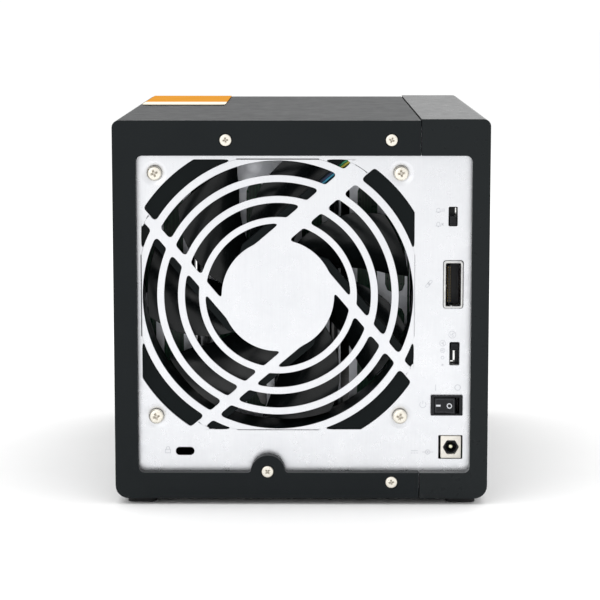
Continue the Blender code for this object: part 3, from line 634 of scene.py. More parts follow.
def paint_nodes():
    """Gives every CAD node a material, and says which material each one has."""
    bezel = plain("bezel_plastic")
    board = circuit_green()
    black = plain("switch_black")
    steel = plain("connector_steel")
    looks = {
        "main_cover": shell_plastic(), "control_cover": plain("satin_plastic"),
        "rear_panel": bare_sheet(), "front_bezel": bezel, "control_panel": bezel,
        "indicator_window": smoked_lens(), "fan_frame": plain("frame_plastic"),
        "fan_rotor": plain("fan_plastic"), "fan_stator": winding_copper(),
        "fan_cable": cable_sleeve("cable_black", (0.02, 0.02, 0.02)),
        "fan_header": plain("white_plastic"), "link_shell": steel, "link_insert": black,
        "power_socket": plain("ivory"), "power_pin": plain("pin_metal"), "rocker_bezel": black,
        "rocker": black, "buzzer_switch_body": steel, "fan_switch_body": steel,
        "buzzer_slider": black, "fan_slider": black, "backplane_board": board,
        "controller_board": board, "top_label": top_label_print(),
    }
    groups = ((cage_sheet(), ["backplane_bracket", "cage_bottom", "cage_top"]
               + [f"cage_wall_{i}" for i in range(1, 6)]),
              (nickel(), [f"{kind}_screw_{i}" for kind in ("fan", "frame") for i in BAYS]),
              (plain("rubber"), [f"foot_{i}" for i in BAYS]),
              (bezel, [f"tray_{i}" for i in BAYS]),
              (plain("lever_plastic"), [f"lever_{i}" for i in BAYS]),
              (black, [f"drive_socket_{i}" for i in BAYS]))
    for look, names in groups:
        looks.update(dict.fromkeys(names, look))
    for name, look in looks.items():
        for slot in NODES[name].material_slots:
            slot.material = look
    return looks


# ---------------------------------------------------------------- rear panel

def at_node(name, width, height):
    """The centre of a node in the rear view, and a size."""
    x, _, z = node_centre(name)
    return x, z, width, height


# The sheet's square holes: centre, width and height
BUZZER_SLOT = at_node("buzzer_switch_body", 3.85, 8.3)
FAN_SLOT = at_node("fan_switch_body", 4.3, 10.0)
LOCK_SLOT = (50.2, 22.4, 8.0, 3.5)
POWER_CUT_OUT = (-64.4, 24.3, 10.4, 10.3)
DIMPLE_RADIUS = 5.3
# The dished sheet round a fan screw, as radius and height
DIMPLE = ((2.0, -1.5), (2.0, -0.62), (2.3, -0.5), (3.4, -0.42), (4.3, -0.24), (5.0, -0.08),
          (5.5, -0.03), (5.5, -0.9), (3.6, -1.4), (2.0, -1.5))
PANEL_SMOOTH = 12


def edge_angle(radius, offset, spoke):
    """The angle, seen from behind, at which a circle meets the edge of a spoke. A spoke runs
    outward along a line that passes the fan's axis at the given offset."""
    return SPOKE_ANGLE + 90 * spoke + math.degrees(math.asin(offset / radius))


def spoke_inner(spoke):
    return WIDE_SPOKE_INNER if spoke % 4 == 0 else SPOKE_INNER


def along_outline(points, start, reach, step):
    """Where an outline is after a distance along it from one of its points, and the last of its
    own points before that."""
    here = Vector(points[start])
    index = start
    while True:
        following = Vector(points[(index + step) % len(points)])
        length = (following - here).length
        if length >= reach:
            return here + (following - here) * (reach / length), index
        reach -= length
        here = following
        index += step


def ease_corners(points, reach, most=1.5):
    """Rounds each corner of a closed outline with a curve that starts and ends reach along the
    outline on each side of a square corner, and up to most times as far for a sharper one."""
    count = len(points)
    corners = []
    for i in range(count):
        here = Vector(points[i])
        before = here - Vector(points[i - 1])
        after = Vector(points[(i + 1) % count]) - here
        turn = before.angle(after)
        if turn > math.radians(8):
            span = 1.0 if turn < math.radians(30) else math.tan(turn / 2)
            corners.append((i, reach * min(span, most)))
    eased = []
    for number, (i, length) in enumerate(corners):
        here = Vector(points[i])
        start = along_outline(points, i, length, -1)[0]
        end, last = along_outline(points, i, length, 1)
        for t in (0.0, 0.17, 0.33, 0.5, 0.67, 0.83, 1.0):
            eased.append(tuple(start * (1 - t) ** 2 + here * 2 * t * (1 - t) + end * t * t))
        following, following_length = corners[(number + 1) % len(corners)]
        stop = following + (count if following <= i else 0)
        first_cut = along_outline(points, following, following_length, -1)[1]
        stop -= (following - first_cut) if first_cut <= following else 0
        for k in range(last + 1, stop):
            eased.append(points[k % count])
    return eased


def around_fan(points):
    """Turns points seen from behind, about the fan's axis, into X and Z."""
    return [(FAN_X - x, FAN_Z + z) for x, z in points]


def ring_slot(inner, outer, quadrant):
    """One slot of a ring, between the spoke that starts a quadrant and the one that ends it."""
    steps = max(10, round(outer))
    end = spoke_inner(quadrant + 1)
    points = arc((0, 0), outer, edge_angle(outer, SPOKE_OUTER, quadrant),
                 edge_angle(outer, end, quadrant + 1), steps)
    points += arc((0, 0), inner, edge_angle(inner, end, quadrant + 1),
                  edge_angle(inner, SPOKE_OUTER, quadrant), steps)
    return points


def clip_angle(radius, half):
    """How far from the middle of a square's side a circle crosses that side."""
    return math.degrees(math.acos(half / radius))


def triangle_tip(half):
    """Where a spoke's outer edge meets the side of the square: its radius."""
    lean = math.radians(SPOKE_ANGLE)
    return math.hypot(SPOKE_OUTER, (half - SPOKE_OUTER * math.cos(lean)) / math.sin(lean))


def grille_outline(lap):
    """The raised grille's outline: a circle, cut off by the sides of a square, that steps in
    round each outermost slot."""
    inner = LAST_RING[0]
    reach = GRILLE_REACH
    half = GRILLE_HALF + lap
    points = []
    for quadrant in range(4):
        side = 90 + 90 * quadrant
        tip = triangle_tip(half)
        tip_angle = edge_angle(tip, SPOKE_OUTER, quadrant)
        end = spoke_inner(quadrant + 1)
        near = clip_angle(inner, half)
        far = clip_angle(reach, half)
        points += arc((0, 0), tip, tip_angle, tip_angle, 1)[:1]
        points += arc((0, 0), inner, edge_angle(inner, SPOKE_OUTER, quadrant), side - near, 10)
        points += arc((0, 0), inner, side + near, edge_angle(inner, end, quadrant + 1), 30)
        points += arc((0, 0), reach, edge_angle(reach, end, quadrant + 1), side + 90 - far, 6)
    return points


def outermost_slots(quadrant):
    """The two outermost slots of a quadrant: a small triangle beside the spoke that starts it,
    and a long one up to the spoke that ends it, both cut off by the side of the square."""
    inner, outer = LAST_RING
    side = 90 + 90 * quadrant
    near = clip_angle(inner, GRILLE_HALF)
    far = clip_angle(outer, GRILLE_HALF)
    tip = triangle_tip(GRILLE_HALF)
    end = spoke_inner(quadrant + 1)
    triangle = arc((0, 0), inner, edge_angle(inner, SPOKE_OUTER, quadrant), side - near, 10)
    triangle += arc((0, 0), tip, edge_angle(tip, SPOKE_OUTER, quadrant), 0, 1)[:1]
    long_slot = arc((0, 0), inner, side + near, edge_angle(inner, end, quadrant + 1), 30)
    long_slot += arc((0, 0), outer, edge_angle(outer, end, quadrant + 1), side + far, 24)
    return triangle, long_slot


def step_edges():
    """The lines along which the raised grille steps down to the sheet: one along each side of
    the square between its two slots, and one across the end of each spoke."""
    half = GRILLE_HALF + GRILLE_LAP
    inner = LAST_RING[0]
    tip = triangle_tip(half)
    near = clip_angle(inner, half)
    lines = []
    for quadrant in range(4):
        side = 90 + 90 * quadrant
        lines.append(arc((0, 0), inner, side - near + 0.6, side + near - 0.6, 1))
        start = edge_angle(GRILLE_REACH, spoke_inner(quadrant + 1), quadrant + 1)
        end = edge_angle(tip, SPOKE_OUTER, quadrant + 1)
        lines.append(arc((0, 0), GRILLE_REACH, start + 0.4, end - 1.0, 12))
    return lines


def skirt(line):
    """A sloped strip that runs down from the raised grille's edge to the sheet. line has X and
    Z points and turns anticlockwise as seen from behind."""
    top = PANEL_REAR + GRILLE_RISE - 0.02
    foot = PANEL_REAR - 0.1
    made = bmesh.new()
    rows = []
    for i, point in enumerate(line):
        ahead = Vector(line[min(i + 1, len(line) - 1)]) - Vector(line[max(i - 1, 0)])
        out = Vector((ahead.y, -ahead.x)).normalized()
        if out.dot(Vector(point) - Vector((FAN_X, FAN_Z))) < 0:
            out = -out
        inside = Vector(point) - out * 0.25
        outside = Vector(point) + out * GRILLE_SLOPE
        rows.append([made.verts.new((at.x, y, at.y)) for at, y in
                     ((inside, top), (outside, PANEL_REAR), (outside, foot), (inside, foot))])
    for first, second in zip(rows, rows[1:]):
        for k in range(4):
            made.faces.new((first[k], first[(k + 1) % 4], second[(k + 1) % 4], second[k]))
    made.faces.new(rows[0])
    made.faces.new(rows[-1])
    return made


def centred(hole, grow, radius):
    """A rounded rectangle from centre and size, made larger by grow on every side."""
    x, z, width, height = hole
    return rounded(x - width / 2 - grow, z - height / 2 - grow,
                   x + width / 2 + grow, z + height / 2 + grow, radius)


def around_node(name, grow, radius):
    low, high = node_box(name)
    return rounded(low[0] - grow, low[2] - grow, high[0] + grow, high[2] + grow, radius)


def fan_corners():
    return [(FAN_X + sx * FAN_HOLES, FAN_Z + sz * FAN_HOLES) for sz in (1, -1) for sx in (1, -1)]


def rear_panel(metal):
    """The bare sheet with its cut-outs and dimples, and the raised grille with its slots."""
    low, high = node_box("rear_panel")
    outlines = [rounded(low[0], low[2], high[0], high[2], 2.0)]
    outlines.append(around_fan(circle((0, 0), SHEET_HOLE, 96)))
    for quadrant in range(4):
        outlines += [around_fan(ease_corners(slot, SLOT_ROUND, 3.2))
                     for slot in outermost_slots(quadrant)]
    outlines += [centred(BUZZER_SLOT, 0.0, 0.5), centred(FAN_SLOT, 0.0, 0.5),
                 centred(LOCK_SLOT, 0.0, 1.65), around_node("link_shell", 0.14, 1.1),
                 centred(POWER_CUT_OUT, 0.0, 0.4), around_node("rocker_bezel", -0.2, 0.4)]
    outlines += [circle(place, DIMPLE_RADIUS) for place in fan_corners()]
    outlines += [circle(node_centre(f"frame_screw_{i}")[::2], 1.5, 24) for i in BAYS]
    panel = Shape().sheet(outlines, PANEL_FRONT, PANEL_REAR, SHEET_EDGE)
    for x, z in fan_corners():
        panel.turned(DIMPLE, (x, PANEL_REAR, z), (0, 1, 0), 48)
    sheet = panel.finish("panel_sheet", metal, "enclosure", "bare_sheet", PANEL_SMOOTH)

    slots = [ring_slot(inner, outer, quadrant) for quadrant in range(4) for inner, outer in RINGS]
    outlines = [around_fan(ease_corners(grille_outline(GRILLE_LAP), SLOT_ROUND))]
    outlines += [around_fan(ease_corners(slot, SLOT_ROUND)) for slot in slots]
    grille = Shape().sheet(outlines, PANEL_FRONT + GRILLE_RISE, PANEL_REAR + GRILLE_RISE,
                           GRILLE_EDGE, 2)
    for line in step_edges():
        grille.add(skirt(around_fan(line)))
    raised = grille.finish("panel_grille", metal, "enclosure", "bare_sheet", PANEL_SMOOTH)
    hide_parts("rear_panel")
    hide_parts("rear_panel")


# ---------------------------------------------------------------- fan

BLADES = 7
BLADE_START = 23.0
BLADE_SWEEP = -28.0
BLADE_ROOT = 18.8
BLADE_TIP = 56.8
HUB_RIM = 20.2


def blade_point(blade, u, v):
    """A point on the middle of a blade: u runs out along it and v across it."""
    radius = BLADE_ROOT + u * (BLADE_TIP - BLADE_ROOT)
    front = 3.2 + u
    back = 18.6 - 2.2 * u
    span = 49 - 14 * u
    angle = math.radians(360 * blade / BLADES + BLADE_START + BLADE_SWEEP * u + span * (v - 0.5))
    height = front + (back - front) * v + 1.6 * math.sin(math.pi * v)
    return Vector((radius * math.cos(angle), radius * math.sin(angle), height))


def blade(number, across=16, along=12):
    """A twisted blade, thick in the middle and thin at its edges, with a rounded tip corner."""
    made = bmesh.new()
    grids = []
    step = 0.01
    for side in (1, -1):
        grid = []
        for i in range(along + 1):
            row = []
            for j in range(across + 1):
                u = i / along
                v = j / across
                tip = 0.12 * max(0.0, u - 0.75) / 0.25
                v = tip * 0.6 + v * (1 - tip)
                middle = blade_point(number, u, v)
                out = blade_point(number, u + step, v) - middle
                over = blade_point(number, u, v + step) - middle
                thick = 0.45 + 1.15 * math.sin(math.pi * j / across) ** 0.6
                row.append(made.verts.new(middle + out.cross(over).normalized() * side * thick / 2))
            grid.append(row)
        grids.append(grid)
    for grid in grids:
        for i in range(along):
            for j in range(across):
                made.faces.new((grid[i][j], grid[i][j + 1], grid[i + 1][j + 1], grid[i + 1][j]))
    front, back = grids
    rim = [(i, 0) for i in range(along + 1)] + [(along, j) for j in range(1, across + 1)]
    rim += [(i, across) for i in range(along - 1, -1, -1)]
    rim += [(0, j) for j in range(across - 1, 0, -1)]
    for (i, j), (k, m) in zip(rim, rim[1:] + rim[:1]):
        made.faces.new((front[i][j], front[k][m], back[k][m], back[i][j]))
    return made


def fan_rotor(look):
    """The hub with its rim and shaft, and seven blades."""
    front = node_box("fan_frame")[0][1]
    depth = node_box("fan_rotor")[1][1] - front
    place = Matrix.Translation((FAN_X, front, FAN_Z)) @ Matrix.Rotation(-math.pi / 2, 4, "X")
    rim = HUB_RIM
    profile = ((0.0, depth), (1.3, depth), (1.5, depth - 0.2), (1.5, 3.2), (17.6, 3.2),
               (17.6, rim - 0.3), (17.9, rim), (19.7, rim), (20.0, rim - 0.3), (20.0, 3.0),
               (19.8, 2.2), (19.2, 1.6), (18.4, 1.25), (15.0, 1.2), (14.6, 1.5), (6.4, 1.5),
               (6.0, 1.2), (0.0, 1.2))
    rotor = Shape()
    hub = Shape().turned(profile, (0, 0, 0), (0, 0, 1), 72)
    rotor.add(hub.mesh, place)
    for number in range(BLADES):
        rotor.add(blade(number), place)
    made = rotor.finish("fan_impeller", look, "rotor", "dark_plastic", 40)
    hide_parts("fan_rotor")


def smooth_route(route, steps):
    """Points along a smooth curve through the route's own points."""
    points = [Vector(p) for p in route]
    ends = [points[0] * 2 - points[1]] + points + [points[-1] * 2 - points[-2]]
    found = []
    for i in range(1, len(ends) - 2):
        a, b, c, d = ends[i - 1:i + 3]
        for step in range(steps):
            t = step / steps
            found.append(0.5 * (2 * b + (c - a) * t + (2 * a - 5 * b + 4 * c - d) * t * t
                                + (3 * b - a - 3 * c + d) * t ** 3))
    found.append(points[-1])
    return found


WIRE_RADIUS = 0.52
WIRE_LAY = 0.74
WIRE_COLOURS = (("wire_teal", (0.02, 0.22, 0.34)), ("wire_navy", (0.008, 0.02, 0.07)),
                ("wire_yellow", (0.55, 0.50, 0.05)), ("wire_green", (0.03, 0.26, 0.12)))
# Where each wire lies in the frame's channel: its distance from the line through the axis and
# its depth, first along the inner part and then beyond the twist
WIRE_LANES = (((24.15, 0.75), (24.3, 2.0)), ((25.2, 0.85), (25.3, 2.1)),
              ((24.2, 2.0), (24.1, 0.75)), ((25.25, 2.1), (25.2, 0.85)))


def channel_point(along, offset, depth):
    """A point in the frame's channel: along the spoke, to its side, and deep from the rear."""
    lean = math.radians(SPOKE_ANGLE)
    x = along * math.cos(lean) - offset * math.sin(lean)
    z = along * math.sin(lean) + offset * math.cos(lean)
    return Vector((FAN_X - x, node_box("fan_frame")[1][1] - depth, FAN_Z + z))


def bundle_point(number, turn):
    """A wire's place across the bundle, as a distance to the side and a height."""
    angle = math.pi / 4 + math.pi / 2 * number + turn
    return WIRE_LAY * math.cos(angle), WIRE_LAY * math.sin(angle)


def fan_wires():
    """Four thin wires that lie in the frame's channel, go over its edge and run together to
    their plug on the board."""
    plug = node_centre("fan_header")
    plug_top = node_box("fan_header")[1][2]
    over = node_box("fan_frame")[1][2] + 1.7
    bundle = [(-22.6, 95.0, over + 0.4), (-22.5, 82.0, over + 0.2), (-22.8, 72.0, over - 0.2),
              (plug[0], plug[1] + 0.6, over - 2.0), (plug[0], plug[1], plug_top)]
    for number, (name, colour) in enumerate(WIRE_COLOURS):
        inner, outer = WIRE_LANES[number]
        route = [channel_point(43.6, inner[0], 6.5), channel_point(44.6, inner[0], inner[1] + 0.6)]
        route += [channel_point(along, *inner) for along in (46.5, 50.0, 53.0)]
        route += [channel_point(along, *outer) for along in (58.0, 61.0)]
        for step, (x, y, z) in enumerate(bundle):
            side, lift = bundle_point(number, 0.5 * step)
            across = Vector((side, 0, lift)) if step < 3 else Vector((side, lift, 0))
            route.append(Vector((x, y, z)) + across)
        wire = Shape().tube(smooth_route(route, 7), WIRE_RADIUS, 10)
        made = wire.finish(name, cable_sleeve(name, colour), "enclosure", "cable_black", 60)
        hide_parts("fan_cable")


def fan_plug(look):
    """The plug in its header: a rounded housing with a raised middle and a latch."""
    low, high = node_box("fan_header")
    middle = node_centre("fan_header")[0]
    shape = Shape().block(low, (high[0], high[1], high[2] - 1.8), 0.35)
    shape.block((low[0] + 0.6, low[1] + 0.5, high[2] - 2.6),
                (high[0] - 0.6, high[1] - 0.6, high[2]), 0.3)
    shape.block((middle - 1.6, low[1] - 0.05, low[2] + 1.0),
                (middle + 1.6, low[1] + 0.9, high[2] - 0.6), 0.2)
    made = shape.finish("fan_plug", look, "enclosure", "connector_white")
    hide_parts("fan_header")


# ---------------------------------------------------------------- screws

def wedge(length, width, deep, high):
    """A tapered bar that makes one slot of a cross recess, wide at the top."""
    made = bmesh.new()
    bmesh.ops.create_cube(made, size=1.0)
    for vert in made.verts:
        top = vert.co.z > 0
        vert.co.x *= (length + high * 0.3 if top else length * 0.3) * 2
        vert.co.y *= width * (1.0 if top else 0.75)
        vert.co.z = high if top else -deep
    upright = [e for e in made.edges if abs(e.verts[0].co.z - e.verts[1].co.z) > high]
    round_edges(made, upright, width * 0.28, 3)
    return made


def screw(name, profile, place, turn, recess, look):
    """A turned screw with a cross recess. recess is the arm's length and width, its depth and
    the height of the head."""
    length, width, deep, top = recess
    shape = Shape().turned(profile, (0, 0, 0), (0, 0, 1), 48)
    for quarter in (0, 90):
        cutter = Shape()
        lift = Matrix.Translation((0, 0, top)) @ Matrix.Rotation(math.radians(quarter), 4, "Z")
        cutter.add(wedge(length, width, deep, 0.4), lift)
        shape.cut(cutter)
    finished = Shape()
    rotation = Matrix.Rotation(math.radians(turn), 4, "Z")
    finished.add(shape.mesh, Matrix.Translation(place) @ turn_to((0, 1, 0)) @ rotation)
    made = finished.finish(name, look, "enclosure", "screw_metal", 32)
    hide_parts(name.replace("_head", ""))


# How far each screw's cross is turned, in degrees
FAN_SCREW_TURNS = (19, 8, 16, -13)
FRAME_SCREW_TURNS = (8, -20, 44, 10)
FRAME_SCREW_RISE = 1.05


def screws(look):
    """Four domed screws that hold the fan, and four flatter ones that hold the panel."""
    for i in BAYS:
        low, high = node_box(f"fan_screw_{i}")
        x, _, z = node_centre(f"fan_screw_{i}")
        head = (high[0] - low[0]) / 2
        base = PANEL_REAR + 0.3
        top = high[1] - base
        profile = [(0, top), (head * 0.3, top - 0.02), (head * 0.6, top - 0.1),
                   (head * 0.8, top - 0.24), (head * 0.92, top - 0.5), (head * 0.98, top - 0.9),
                   (head, top - 1.3), (head, 0.05), (head - 0.06, 0.0), (1.7, 0.0),
                   (1.7, -10.2), (1.4, -10.5), (0, -10.5)]
        screw(f"fan_screw_{i}_head", profile, (x, base, z), FAN_SCREW_TURNS[i - 1],
              (2.1, 1.0, 1.0, top), look)

        low, high = node_box(f"frame_screw_{i}")
        x, _, z = node_centre(f"frame_screw_{i}")
        head = (high[0] - low[0]) / 2
        rise = FRAME_SCREW_RISE
        profile = [(0, rise), (head * 0.72, rise), (head * 0.88, rise - 0.07),
                   (head * 0.97, rise - 0.22), (head, rise - 0.42), (head, 0.0), (1.2, 0.0),
                   (1.2, -7.1), (0.95, -7.4), (0, -7.4)]
        screw(f"frame_screw_{i}_head", profile, (x, high[1] - rise, z),
              FRAME_SCREW_TURNS[i - 1], (1.6, 0.8, 0.8, rise), look)


# ---------------------------------------------------------------- data link and power inlet

LINK_WALL = 0.95
LINK_CONTACTS = 13


def data_link(steel, black, gold):
    """The tall link connector: a drawn steel shell with two spring dimples, and a tongue with
    a row of contacts on each side of it."""
    low, high = node_box("link_shell")
    x, _, z = node_centre("link_shell")
    outer = around_node("link_shell", 0.0, 1.1)
    inner = around_node("link_shell", -LINK_WALL, 0.6)
    shell = Shape().sheet([outer, inner], low[1], high[1], 0.28, 2)
    dimple = ((0.0, 0.42), (0.35, 0.36), (0.62, 0.18), (0.8, -0.1), (0.0, -0.1))
    for at, side in (((high[0] - LINK_WALL, high[1] - 1.0, z - 0.4), (-1, 0, 0)),
                     ((x + 0.8, high[1] - 1.0, low[2] + LINK_WALL), (0, 0, 1))):
        shell.turned(dimple, at, side, 24)
    made = shell.finish("link_shell_drawn", steel, "enclosure", "bare_sheet")
    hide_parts("link_shell")

    low, high = node_box("link_insert")
    insert = Shape().block(low, (high[0], low[1] + 5.7, high[2]), 0.3)
    tongue = x + 1.75
    insert.block((tongue - 0.45, low[1] + 4.6, low[2] + 0.8),
                 (tongue + 0.45, high[1], high[2] - 0.8), 0.2)
    made = insert.finish("link_insert_moulded", black, "enclosure", "dark_plastic")
    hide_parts("link_insert")
    contacts = Shape()
    for side in (-1, 1):
        for i in range(LINK_CONTACTS):
            z = low[2] + 1.8 + (high[2] - low[2] - 3.6) * i / (LINK_CONTACTS - 1)
            x = tongue + side * 0.47
            contacts.block((x - 0.06, low[1] + 5.8, z - 0.22), (x + 0.06, high[1] - 0.7, z + 0.22))
    contacts.finish("link_contacts", gold, "enclosure", "screw_metal")


def power_inlet(cream, black, pin_look):
    """The power inlet: a cream housing with a six-sided well, a dark sleeve and a pin."""
    low, high = node_box("power_socket")
    x, _, z = node_centre("power_socket")
    mouth = high[1]
    housing = Shape().block(low, high, 0.45, 3)
    outline = ease_corners(arc((x, z), 3.55, 0, 300, 5), 0.7)
    housing.cut(Shape().prism(outline, mouth - 10.6, mouth + 2.0))
    made = housing.finish("power_socket_housing", cream, "enclosure", "ivory_plastic", 28)
    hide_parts("power_socket")

    sleeve = Shape().turned(((2.35, -9.8), (2.95, -9.8), (2.95, -1.0), (2.85, -0.9), (2.45, -0.9),
                             (2.35, -1.0), (2.35, -9.8)), (x, mouth, z), (0, 1, 0), 40)
    sleeve.turned(((0, -10.4), (2.9, -10.4), (2.9, -8.4), (0, -8.4)), (x, mouth, z), (0, 1, 0), 32)
    sleeve.finish("power_sleeve", black, "enclosure", "dark_plastic")

    low, high = node_box("power_pin")
    tip = high[1]
    length = high[1] - low[1]
    pin = Shape().turned(((0, 0), (0.5, -0.02), (0.8, -0.12), (0.94, -0.3), (0.98, -0.6),
                          (0.98, -length), (0, -length)), (x, tip, z), (0, 1, 0), 32)
    made = pin.finish("power_pin_round", pin_look, "enclosure", "screw_metal")
    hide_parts("power_pin")


# ---------------------------------------------------------------- switches

RIBS = 5


def slide_switch(name, slot, steel, black):
    """A slide switch seen through its slot: a steel can, a dark liner and a ribbed knob."""
    x, z, width, height = slot
    low, high = node_box(f"{name}_switch_body")
    face = high[1]
    can = Shape().block(low, high, 0.3, 2)
    well = Shape().block((x - width / 2 + 0.05, face - 3.6, z - height / 2 + 0.05),
                         (x + width / 2 - 0.05, face + 2.0, z + height / 2 - 0.05))
    can.cut(well)
    made = can.finish(f"{name}_switch_can", steel, "enclosure", "bare_sheet")
    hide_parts(f"{name}_switch_body")
    liner = Shape().sheet([centred(slot, -0.1, 0.3), centred(slot, -0.32, 0.2)],
                          face - 3.3, face - 0.1, 0.05)
    liner.block((x - width / 2 + 0.1, face - 3.55, z - height / 2 + 0.1),
                (x + width / 2 - 0.1, face - 3.1, z + height / 2 - 0.1))
    liner.finish(f"{name}_switch_liner", black, "enclosure", "dark_plastic")

    low, high = node_box(f"{name}_slider")
    knob = Shape().block(low, (high[0], high[1] - 0.35, high[2]), 0.22, 2)
    pitch = (high[2] - low[2]) / RIBS
    for i in range(RIBS):
        rib = low[2] + pitch * (i + 0.5)
        knob.block((low[0] + 0.12, high[1] - 0.8, rib - pitch * 0.3),
                   (high[0] - 0.12, high[1], rib + pitch * 0.3), 0.12, 2)
    made = knob.finish(f"{name}_knob_ribbed", black, f"{name}_knob", "dark_plastic")
    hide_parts(f"{name}_slider")


# Each switch's slot, and the two bright strips at its bottom: their lowest and highest corners
# from the slot's centre
SWITCHES = (("buzzer", BUZZER_SLOT, ((-1.75, 0.45), (-1.0, 3.9)), ((-0.9, -4.0), (1.2, -3.75))),
            ("fan", FAN_SLOT, ((-0.35, -4.3), (0.5, 1.4)), ((0.4, -4.3), (2.0, -3.5))))


def switches(steel, black, bright):
    for name, slot, _, _ in SWITCHES:
        slide_switch(name, slot, steel, black)
    for name, slot, upright, foot in SWITCHES:
        x, z = slot[:2]
        face = node_box(f"{name}_switch_body")[1][1]
        contact = Shape()
        for low, high in (upright, foot):
            contact.block((x + low[0], face - 3.15, z + low[1]),
                          (x + high[0], face - 2.94, z + high[1]), 0.05)
        contact.finish(f"{name}_contact", bright, "enclosure", "bare_sheet")


# ---------------------------------------------------------------- printed marks

INK_THICK = 0.03
INK_HEIGHT = PANEL_REAR + 0.005
LINE = 0.28
FINE_LINE = LINE * 0.8


class Marks:
    """The faint marks printed on the rear panel. Each line is given by points seen from
    behind, about the mark's centre. None of the marks is lettering."""

    def __init__(self):
        self.shape = Shape()
        self.centre = (0.0, 0.0)

    def line(self, points, closed=False, width=LINE):
        x, z = self.centre
        placed = [(x - a, z + b) for a, b in points]
        self.shape.ribbon(placed, width, INK_HEIGHT, INK_THICK, closed)

    def at(self, node, along, up):
        """Moves the centre to a distance from a node's own centre, in X and Z."""
        x, _, z = node_centre(node)
        self.centre = (x + along, z + up)

    def bell(self, muted):
        """A bell with sound lines, or crossed out."""
        dome = arc((0, 0.15), 0.72, 180, 0, 10)
        self.line([(-1.0, -0.75), (-0.72, -0.35)] + dome + [(0.72, -0.35), (1.0, -0.75)], True)
        self.line(arc((0, -0.8), 0.3, 180, 360, 6))
        if muted:
            for sign in (1, -1):
                self.line([(1.3, -0.55 * sign), (2.3, 0.55 * sign)])
        else:
            for x in (1.45, 1.95, 2.45):
                self.line([(x, -0.7), (x, 0.7)], width=FINE_LINE)

    def chain(self):
        """Two slanted links."""
        for along in (-0.75, 0.75):
            loop = arc((0.55, 0), 0.55, -90, 90, 8) + arc((-0.55, 0), 0.55, 90, 270, 8)
            self.line(turned([(x + along, z) for x, z in loop], 50), True)

    def fan(self, radius):
        """A ring with three curved blades."""
        self.line(circle((0, 0), radius, 24), True, FINE_LINE)
        for number in range(3):
            blade_line = arc((radius * 0.32, 0), radius * 0.32, 180, 20, 6)
            self.line(turned(blade_line, 120 * number + 20), width=FINE_LINE)

    def power(self):
        """The bar and ring of the switch, and the usual power sign beside it."""
        self.at("rocker_bezel", 0.0, 0.0)
        self.line([(-4.8, 6.2), (-4.8, 9.0)])
        self.line(circle((4.7, 7.7), 1.2, 24), True)
        self.at("rocker_bezel", 10.2, 0.2)
        self.line(arc((0, 0), 1.35, 125, 415, 24))
        self.line([(0, 0.3), (0, 1.8)])

    def inlet(self):
        """The sign for direct current, and a ring with its two leads."""
        self.at("power_socket", 12.6, -2.2)
        self.line([(-4.6, 0.55), (-1.6, 0.55)])
        for x in (-4.3, -3.1, -1.9):
            self.line([(x - 0.35, -0.45), (x + 0.35, -0.45)])
        self.line(circle((2.6, 0), 0.95, 24), True)
        self.line(circle((2.6, 0), 0.3, 12), True)
        self.line([(0.2, 0), (1.65, 0)])
        self.line([(3.55, 0), (5.0, 0)])

    def padlock(self):
        self.centre = (LOCK_SLOT[0] + 7.4, LOCK_SLOT[1] + 0.5)
        self.line([(-1.1, -1.3), (1.1, -1.3), (1.1, 0.25), (-1.1, 0.25)], True)
        bow = arc((0, 0.8), 0.7, 180, 0, 8)[1:-1]
        self.line([(-0.7, 0.25), (-0.7, 0.8)] + bow + [(0.7, 0.8), (0.7, 0.25)])


def turned(points, degrees):
    """Flat points turned about their origin."""
    angle = math.radians(degrees)
    return [(x * math.cos(angle) - z * math.sin(angle), x * math.sin(angle) + z * math.cos(angle))
            for x, z in points]


def panel_marks(ink):
    marks = Marks()
    marks.at("buzzer_switch_body", 6.3, 2.7)
    marks.bell(False)
    marks.at("buzzer_switch_body", 6.3, -3.3)
    marks.bell(True)
    marks.at("link_shell", 10.4, 0.3)
    marks.chain()
    marks.at("fan_switch_body", 1.0, 8.3)
    marks.fan(1.5)
    # The fan's four speeds, fastest at the top: two fans and two plain rings
    for step, radius in enumerate((1.25, 0.95, 0.62, 0.3)):
        marks.at("fan_switch_body", 5.1, 4.6 - 3.15 * step)
        if step < 2:
            marks.fan(radius)
        else:
            marks.line(circle((0, 0), radius, 20), True)
    marks.power()
    marks.inlet()
    marks.padlock()
    marks.shape.finish("panel_marks", ink, "enclosure", "cable_black")


# The rocker stands tilted at rest, and its two halves slope down from its middle
ROCKER_LEAN = -10.0
ROCKER_TOP = 4.5
ROCKER_HALF = 4.4
ROCKER_FALL = 0.75
BORDER_HALF = 2.75


def rocker_plane(side):
    """The plane of one half of the rocker's face: X along the face towards +X, Y up."""
    joint = next(joint for joint in frame["joints"] if joint["name"] == "rocker_tilt")
    lean = Matrix.Rotation(math.radians(ROCKER_LEAN), 4, "Z")
    slope = Matrix.Rotation(side * math.atan2(ROCKER_FALL, ROCKER_HALF), 4, "Z")
    middle = Matrix.Translation((0, ROCKER_TOP, 0))
    return Matrix.Translation(Vector(joint["pos_m"]) / MM) @ lean @ middle @ slope @ UPRIGHT


